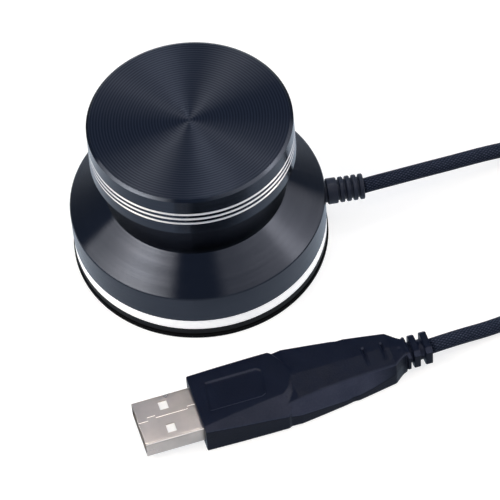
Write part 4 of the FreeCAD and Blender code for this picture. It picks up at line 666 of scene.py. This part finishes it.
# Plug grip
# Satin black plastic moulded over the back of the shell and the end of the jacket, with
# soft edges, a thumb panel on top and a short ribbed strain relief at its tail.
GRIP_GRID = 0.0002
plug_grip = merged_copy("plug_grip", "plug_overmould")
bpy.ops.mesh.normals_make_consistent(inside=False)
bpy.ops.object.mode_set(mode="OBJECT")
grip_skin = plug_grip.modifiers.new("skin", "REMESH")
grip_skin.mode = "VOXEL"
grip_skin.voxel_size = GRIP_GRID
bpy.ops.object.modifier_apply(modifier="skin")
soft_edges = plug_grip.modifiers.new("soft_edges", "SMOOTH")
soft_edges.factor = 0.5
soft_edges.iterations = 4
bpy.ops.object.modifier_apply(modifier="soft_edges")
bpy.ops.object.shade_smooth()
note_facing(plug_grip)
grip_plastic = moulded_material("grip_plastic", (0.0055, 0.0085, 0.02), (0.0035, 0.0055, 0.014),
                                0.00035, 0.3, 0.36, 0.00004, Specular_IOR_Level=0.06)
# Painted highlight: its slopes get a paler tone, with a slightly coarser grain, than its top and
# sides, palest where they are steepest, for the light they catch.
grip_tree = grip_plastic.node_tree
grip_surface = grip_tree.nodes["Principled BSDF"]
grip_facing = plug_facing(grip_tree)
grip_slope_sheen = reckon(
    grip_tree, "MULTIPLY",
    spread_over(grip_tree, reckon(grip_tree, "ABSOLUTE", grip_facing["Y"]), 0.15, 0.4),
    spread_over(grip_tree, grip_facing["Z"], 0.1, 0.3))
slope_sheen_grain = place_group(grip_tree, moulded_grain, Light_Tone=(0.024, 0.027, 0.042, 1),
                            Deep_Tone=(0.014, 0.017, 0.029, 1), Grain_Scale=1 / 0.0004,
                            Smooth_End=0.4, Rough_End=0.5)
slope_sheen_tone = add_node(
    grip_tree, "VectorMath", {"operation": "SCALE"}, Vector=slope_sheen_grain.outputs["Color"],
    Scale=spread_over(grip_tree, grip_facing["Z"], 0.3, 0.9, 2.3, 1.1))
feed(grip_tree, grip_surface.inputs["Base Color"], between(
    grip_tree, grip_slope_sheen, grip_surface.inputs["Base Color"].links[0].from_socket,
    slope_sheen_tone.outputs[0]))
plug_grip.data.materials.append(grip_plastic)
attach(plug_grip, "base")
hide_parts("plug_overmould")


# Coil strap
# Woven black strap closed round the stored turns, doubled on top where its end sticks
# to itself. The loose end stands up a little.
STRAP_THICKNESS = 0.0005
STRAP_CORNER = 0.0018
FLAP_LENGTH = 0.011
FLAP_GAP = 0.00003
FLAP_LIFT = 45.0
FLAP_ROUNDING = 0.0006
strap_low, strap_high = (Vector(corner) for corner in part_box("coil_tie"))
strap_middle = (strap_low + strap_high) / 2
strap_size = strap_high - strap_low
bpy.ops.object.select_all(action="DESELECT")
bpy.ops.mesh.primitive_cube_add(size=1.0, location=strap_middle)
coil_strap = bpy.context.object
coil_strap.name = "coil_strap"
coil_strap.scale = strap_size
bpy.ops.object.transform_apply(location=True, rotation=True, scale=True)
for face in coil_strap.data.polygons:
    face.select = abs(face.normal.y) > 0.9
for edge in coil_strap.data.edges:
    edge.select = False
for vertex in coil_strap.data.vertices:
    vertex.select = False
bpy.ops.object.mode_set(mode="EDIT")
bpy.ops.mesh.select_mode(type="FACE")
bpy.ops.mesh.delete(type="ONLY_FACE")
bpy.ops.object.mode_set(mode="OBJECT")
for edge in coil_strap.data.edges:
    ends = [coil_strap.data.vertices[index].co for index in edge.vertices]
    edge.select = abs(ends[0].y - ends[1].y) > strap_size.y / 2
bpy.ops.object.mode_set(mode="EDIT")
bpy.ops.mesh.select_mode(type="EDGE")
bpy.ops.mesh.bevel(offset=STRAP_CORNER, segments=6)
bpy.ops.mesh.select_all(action="SELECT")
bpy.ops.mesh.normals_make_consistent(inside=False)
bpy.ops.object.mode_set(mode="OBJECT")
strap_band = coil_strap.modifiers.new("band", "SOLIDIFY")
strap_band.thickness = STRAP_THICKNESS
strap_band.offset = -1.0
bpy.ops.object.modifier_apply(modifier="band")

bpy.ops.object.select_all(action="DESELECT")
bpy.ops.mesh.primitive_plane_add(size=1.0, location=(
    strap_middle.x - FLAP_LENGTH * 0.2, strap_middle.y,
    strap_high.z + STRAP_THICKNESS / 2 + FLAP_GAP))
strap_flap = bpy.context.object
strap_flap.scale = (FLAP_LENGTH, strap_size.y * 0.96, 1.0)
bpy.ops.object.transform_apply(location=True, rotation=True, scale=True)
flap_end = max(vertex.co.x for vertex in strap_flap.data.vertices)
bpy.ops.object.mode_set(mode="EDIT")
bpy.ops.mesh.subdivide(number_cuts=11)
bpy.ops.object.mode_set(mode="OBJECT")
for vertex in strap_flap.data.vertices:
    past = max(0.0, vertex.co.x - (flap_end - FLAP_LENGTH * 0.4))
    vertex.co.z += past * past * FLAP_LIFT
    off_middle = abs(vertex.co.y - strap_middle.y) / (strap_size.y * 0.48)
    if vertex.co.x > flap_end - 0.0001:
        vertex.co.x -= FLAP_ROUNDING * off_middle ** 4
flap_band = strap_flap.modifiers.new("band", "SOLIDIFY")
flap_band.thickness = STRAP_THICKNESS
flap_band.offset = 0.0
bpy.ops.object.modifier_apply(modifier="band")
coil_strap.select_set(True)
bpy.context.view_layer.objects.active = coil_strap
bpy.ops.object.join()
strap_hem = coil_strap.modifiers.new("hem", "BEVEL")
strap_hem.width = 0.0001
strap_hem.segments = 2
strap_hem.limit_method = "ANGLE"
strap_hem.angle_limit = math.radians(50)
bpy.ops.object.modifier_apply(modifier="hem")
bpy.ops.object.shade_smooth_by_angle(angle=math.radians(40))

woven_cover, weave_in, weave_out = start_group(
    "woven_cover",
    [("First Phase", "value"), ("Second Phase", "value"), ("Light Yarn", "colour"),
     ("Deep Yarn", "colour"), ("Smooth End", "value"), ("Rough End", "value")],
    [("Color", "colour"), ("Roughness", "value"), ("Height", "value")])
first_wave = reckon(woven_cover, "SINE", weave_in.outputs["First Phase"])
second_wave = reckon(woven_cover, "SINE", weave_in.outputs["Second Phase"])
first_rise = reckon(woven_cover, "ABSOLUTE", first_wave)
second_rise = reckon(woven_cover, "ABSOLUTE", second_wave)
first_on_top = reckon(woven_cover, "GREATER_THAN", reckon(
    woven_cover, "MULTIPLY", first_wave, second_wave), 0.0)
across_yarn = add_node(woven_cover, "Mix", Factor=first_on_top, A=second_rise, B=first_rise)
along_yarn = add_node(woven_cover, "Mix", Factor=first_on_top, A=first_rise, B=second_rise)
yarn_arch = reckon(woven_cover, "MULTIPLY", reckon(
    woven_cover, "POWER", across_yarn.outputs[0], 0.6), reckon(
    woven_cover, "MULTIPLY_ADD", along_yarn.outputs[0], 0.5, 0.5))
yarn_fuzz = add_node(woven_cover, "TexNoise", Scale=2600.0, Detail=3.0,
                     Vector=woven_cover.nodes.new("ShaderNodeTexCoord").outputs["Object"])
yarn_tone = reckon(woven_cover, "MULTIPLY", spread_over(
    woven_cover, yarn_arch, 0.45, 1.0), spread_over(
    woven_cover, yarn_fuzz.outputs[0], 0.35, 0.65, 0.3, 1.0))
feed(woven_cover, weave_out.inputs["Color"],
     between(woven_cover, yarn_tone, weave_in.outputs["Deep Yarn"],
             weave_in.outputs["Light Yarn"]))
weave_rough = add_node(woven_cover, "MapRange", Value=yarn_arch,
                       To_Min=weave_in.outputs["Rough End"],
                       To_Max=weave_in.outputs["Smooth End"])
feed(woven_cover, weave_out.inputs["Roughness"], weave_rough.outputs["Result"])
feed(woven_cover, weave_out.inputs["Height"], reckon(
    woven_cover, "MULTIPLY_ADD", yarn_fuzz.outputs[0], 0.25, yarn_arch))
STRAP_YARN = 0.0004
strap_weave, strap_tree, strap_surface = start_material("strap_weave", Sheen_Weight=0.1,
                                                        Sheen_Roughness=0.5)
strap_axes = object_axes(strap_tree)
strap_run = reckon(strap_tree, "ADD", strap_axes["X"], strap_axes["Z"])
strap_yarns = place_group(
    strap_tree, woven_cover,
    First_Phase=reckon(strap_tree, "MULTIPLY", strap_run, math.pi / STRAP_YARN),
    Second_Phase=reckon(strap_tree, "MULTIPLY", strap_axes["Y"], math.pi / STRAP_YARN),
    Light_Yarn=(0.018, 0.018, 0.02, 1), Deep_Yarn=(0.004, 0.004, 0.005, 1),
    Smooth_End=0.55, Rough_End=0.8)
dress(strap_tree, strap_surface, strap_yarns, 0.00008)
coil_strap.data.materials.clear()
coil_strap.data.materials.append(strap_weave)
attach(coil_strap, "base")
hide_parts("coil_tie")


# Lead
# One slim lead of 1.5 m under a braided cover of dark nylon yarns. It leaves the gland, lies
# down on the table and goes to a neat coil in four layers beside the view, and comes off the
# top of the coil to the plug.
MM = 0.001
CORD_RADIUS = 1.75 * MM
CORD_FROM_BASE_POINTS = [
    (37.97, 0.0, 9.0),
    (39.7, 0.3, 9.0),
    (45.0, 1.15, 8.8),
    (53.15, 3.1, 7.7),
    (60.3, 5.0, 6.42),
    (67.5, 6.75, 5.48),
    (75.0, 8.2, 4.35),
    (82.5, 9.15, 3.1),
    (90.0, 9.4, 2.2),
    (97.8, 9.4, 2.2),
]
CORD_TO_PLUG_POINTS = [
    (97.8, -38.3, 13.15),
    (92.6, -38.3, 13.15),
    (86.0, -38.1, 11.9),
    (79.5, -37.8, 8.6),
    (73.4, -37.5, 4.6),
    (67.8, -37.8, 2.3),
    (63.0, -38.85, 1.95),
    (58.4, -40.0, 2.15),
    (53.8, -41.4, 3.24),
    (49.2, -42.95, 4.35),
    (44.978, -43.706, 4.2),
]
COIL_LAYERS = 4
COIL_HALF_TURNS = 5
COIL_MIDDLE_X = 101.0
COIL_OUTER_RADIUS = 23.85
COIL_TURN_PITCH = 3.7
COIL_LAYER_PITCH = 3.65
COIL_LIFT = 2.2
COIL_DRAW = 0.55
COIL_POINTS_PER_HALF_TURN = 8


def coil_stations():
    """Radius and height at the end of each half turn, the first at the far side."""
    stations = []
    for layer in range(COIL_LAYERS):
        height = COIL_LIFT + COIL_LAYER_PITCH * layer
        radii = [COIL_OUTER_RADIUS - COIL_TURN_PITCH / 2 * step
                 for step in range(COIL_HALF_TURNS + 1)]
        draw = -COIL_DRAW
        if layer % 2:
            radii.reverse()
            draw = -draw
        if layer > 0:
            radii[0] -= draw
        if layer < COIL_LAYERS - 1:
            radii[-1] += draw
        stations += [(radius, height) for radius in radii]
    return stations


def coil_points():
    """Control points whose legs touch the turns, half a step to each side of every station."""
    middle_y = CORD_FROM_BASE_POINTS[-1][1] - COIL_OUTER_RADIUS
    stations = coil_stations()
    step = math.pi / COIL_POINTS_PER_HALF_TURN
    points = []
    for number, ((first, low), (last, high)) in enumerate(zip(stations, stations[1:])):
        sign = 1 if number % 2 == 0 else -1
        radius = (first + last) / 2
        centre = middle_y + sign * (first - last) / 2
        for place in range(COIL_POINTS_PER_HALF_TURN):
            angle = step * (place + 0.5)
            reach = radius / math.cos(step / 2)
            points.append((
                COIL_MIDDLE_X + sign * reach * math.sin(angle),
                centre + sign * reach * math.cos(angle),
                low + (high - low) * (1 - math.cos(angle)) / 2,
            ))
    return points


lead_curve = bpy.data.curves.new("lead_line", "CURVE")
lead_curve.dimensions = "3D"
lead_curve.resolution_u = 6
lead_spline = lead_curve.splines.new("NURBS")
lead_points = CORD_FROM_BASE_POINTS + coil_points() + CORD_TO_PLUG_POINTS
lead_spline.points.add(len(lead_points) - 1)
for point, place in zip(lead_spline.points, lead_points):
    point.co = (place[0] * MM, place[1] * MM, place[2] * MM, 1.0)
lead_spline.order_u = 3
lead_spline.use_endpoint_u = True
lead_line = bpy.data.objects.new("lead_line", lead_curve)
line_mesh = bpy.data.meshes.new_from_object(lead_line)
lead_path = [vertex.co.copy() for vertex in line_mesh.vertices]
bpy.data.objects.remove(lead_line)


def jacket_mesh(name, path, radius, sides):
    """A tube round the path. Its UV map runs along it in metres and once round it."""
    corners = []
    faces = []
    marks = []
    headings = [(after - before).normalized() for before, after in zip(path, path[1:])]
    headings = [headings[0]] + [(a + b).normalized() for a, b in zip(headings, headings[1:])] \
        + [headings[-1]]
    side_step = headings[0].orthogonal().normalized()
    length = 0.0
    for number, (middle, heading) in enumerate(zip(path, headings)):
        if number:
            length += (middle - path[number - 1]).length
        side_step = (side_step - heading * side_step.dot(heading)).normalized()
        lift_step = heading.cross(side_step)
        marks.append(length)
        for side in range(sides):
            turn = 2 * math.pi * side / sides
            corners.append(middle + (side_step * math.cos(turn)
                                     + lift_step * math.sin(turn)) * radius)
    for ring in range(len(path) - 1):
        for side in range(sides):
            following = (side + 1) % sides
            faces.append((ring * sides + side, ring * sides + following,
                          (ring + 1) * sides + following, (ring + 1) * sides + side))
    faces.append(tuple(reversed(range(sides))))
    faces.append(tuple(range((len(path) - 1) * sides, len(path) * sides)))
    mesh = bpy.data.meshes.new(name)
    mesh.from_pydata(corners, [], faces)
    cover_map = mesh.uv_layers.new(name="cover_map")
    for face in mesh.polygons:
        face.use_smooth = len(face.vertices) == 4
        for place, loop in enumerate(face.loop_indices):
            ring, side = divmod(mesh.loops[loop].vertex_index, sides)
            if len(face.vertices) == 4 and side == 0 and place in (1, 2):
                side = sides
            cover_map.data[loop].uv = (marks[ring], side / sides)
    mesh.validate()
    return mesh


JACKET_SIDES = 20
lead = bpy.data.objects.new("braided_lead", jacket_mesh(
    "braided_lead", lead_path, CORD_RADIUS, JACKET_SIDES))
bpy.context.scene.collection.objects.link(lead)

YARNS_ROUND = 8
YARN_LAY = 0.0011


def braid_material(name, around, along):
    """Two sets of nylon yarns that cross on the slant, from the places round and along."""
    material, tree, surface = start_material(name, Specular_IOR_Level=0.06)
    round_phase = reckon(tree, "MULTIPLY", around(tree), 2 * math.pi * YARNS_ROUND)
    long_phase = reckon(tree, "MULTIPLY", along(tree), math.pi / YARN_LAY)
    braid = place_group(tree, woven_cover,
                        First_Phase=reckon(tree, "ADD", round_phase, long_phase),
                        Second_Phase=reckon(tree, "SUBTRACT", round_phase, long_phase),
                        Light_Yarn=(0.055, 0.066, 0.105, 1), Deep_Yarn=(0.006, 0.01, 0.021, 1),
                        Smooth_End=0.4, Rough_End=0.7)
    dress(tree, surface, braid, 0.00012)
    return material


def cover_map_axis(axis):
    def place(tree):
        spot = add_node(tree, "UVMap", {"uv_map": "cover_map"}).outputs["UV"]
        return add_node(tree, "SeparateXYZ", Vector=spot).outputs[axis]
    return place


cord_braid = braid_material("cord_braid", cover_map_axis("Y"), cover_map_axis("X"))
lead.data.materials.append(cord_braid)


def entry_turn(tree):
    """The place round the jacket inside the gland, whose axis is level along X."""
    axes = object_axes(tree)
    rise = reckon(tree, "SUBTRACT", axes["Z"], CORD_FROM_BASE_POINTS[0][2] * MM)
    turn = reckon(tree, "ARCTAN2", rise, axes["Y"])
    return reckon(tree, "DIVIDE", turn, 2 * math.pi)


def entry_length(tree):
    return object_axes(tree)["X"]


paint(braid_material("entry_braid", entry_turn, entry_length), "cord_entry")
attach(lead, "base")
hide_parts("cord_from_base", "cord_coil", "cord_to_plug")


# Studio
# White table under a surround that is pale low down only. One long soft light hangs on each
# side, brighter near its middle, with a dark gap between them. A small one hangs almost
# overhead, a little to the back.
TABLE_SIZE = 6.0
bpy.ops.object.select_all(action="DESELECT")
bpy.ops.mesh.primitive_plane_add(size=TABLE_SIZE)
table = bpy.context.object
table.name = "table"
table_white, table_tree, table_surface = start_material("table_white", Roughness=0.9,
                                                        Specular_IOR_Level=0.0)
table_surface.inputs["Base Color"].default_value = (0.35, 0.35, 0.35, 1)
seen_by = add_node(table_tree, "LightPath")
seen = reckon(table_tree, "MAXIMUM", seen_by.outputs["Is Camera Ray"], reckon(
    table_tree, "MAXIMUM", reckon(table_tree, "MULTIPLY", seen_by.outputs["Is Glossy Ray"], 0.7),
    seen_by.outputs["Is Transmission Ray"]))
feed(table_tree, table_surface.inputs["Emission Color"], between(
    table_tree, seen_by.outputs["Is Glossy Ray"], (1, 1, 1, 1), (0.76, 0.94, 1.16, 1)))
feed(table_tree, table_surface.inputs["Emission Strength"],
     reckon(table_tree, "MULTIPLY", seen, 0.75))
table.data.materials.append(table_white)

surround = bpy.data.worlds.new("surround")
bpy.context.scene.world = surround
surround.use_nodes = True
surround_tree = surround.node_tree
surround_way = add_node(surround_tree, "SeparateXYZ", Vector=add_node(
    surround_tree, "TexCoord").outputs["Generated"])
overhead = between(surround_tree,
                   spread_over(surround_tree, surround_way.outputs["Z"], 0.2, 0.55),
                   (0.12, 0.15, 0.2, 1), between(
                       surround_tree, spread_over(surround_tree, surround_way.outputs["Y"],
                                                  -0.55, 0.6),
                       (0.25, 0.3, 0.41, 1), (0.38, 0.46, 0.62, 1)))
feed(surround_tree, surround_tree.nodes["Background"].inputs["Color"], between(
    surround_tree, spread_over(surround_tree, surround_way.outputs["Z"], 0.0, 0.2),
    (1, 1, 1, 1), overhead))


def hang_light(name, side, along, offset, size, tone, profile):
    """An area light in this direction from the knob, its length lying this way. The profile
    gives its radiance from end to end."""
    aim = Vector(side).normalized()
    run = Vector(along)
    run = (run - aim * run.dot(aim)).normalized()
    rise = aim.cross(run)
    data = bpy.data.lights.new(name, "AREA")
    data.shape = "RECTANGLE"
    data.size, data.size_y = size
    data.energy = math.pi * size[0] * size[1]
    data.color = tone
    data.use_nodes = True
    tree = data.node_tree
    across = add_node(tree, "SeparateXYZ", Vector=add_node(
        tree, "NewGeometry").outputs["Parametric"]).outputs["X"]
    curve = add_node(tree, "FloatCurve", Value=across)
    brightest = max(level for place, level in profile)
    points = curve.mapping.curves[0].points
    while len(points) < len(profile):
        points.new(0.5, 0.5)
    for point, (place, level) in zip(points, profile):
        point.location = (place, level / brightest)
    curve.mapping.update()
    feed(tree, tree.nodes["Emission"].inputs["Strength"],
         reckon(tree, "MULTIPLY", curve.outputs[0], brightest))
    light = bpy.data.objects.new(name, data)
    turn = Matrix((run, rise, aim)).transposed()
    place = aim * LIGHT_DISTANCE + rise * offset + Vector((0, 0, 0.03))
    light.matrix_world = Matrix.Translation(place) @ turn.to_4x4()
    light.visible_camera = False
    bpy.context.scene.collection.objects.link(light)


LIGHT_DISTANCE = 1.3
hang_light("left_softbox", (-0.649, -0.084, 0.756), (0.494, -0.803, 0.335), -0.06,
           (1.48, 0.34), (1.0, 0.89, 0.73),
           ((0.0, 4.8), (0.11, 4.4), (0.24, 5.9), (0.35, 8.3), (0.45, 11.5), (0.56, 13.6),
            (0.67, 12.5), (0.78, 8.6), (0.92, 4.4), (1.0, 1.0)))
hang_light("right_softbox", (0.623, -0.048, 0.78), (0.538, 0.751, -0.383), -0.14,
           (2.36, 0.46), (1.0, 0.89, 0.76),
           ((0.0, 1.6), (0.14, 1.4), (0.3, 2.2), (0.45, 3.5), (0.49, 5.4), (0.52, 7.9),
            (0.58, 6.8), (0.65, 4.0), (0.8, 2.4), (1.0, 2.0)))
hang_light("back_light", (0.104, 0.305, 0.947), (1, 0, 0), 0.0,
           (0.13, 0.16), (1.0, 0.95, 0.88), ((0.0, 32.0), (1.0, 32.0)))
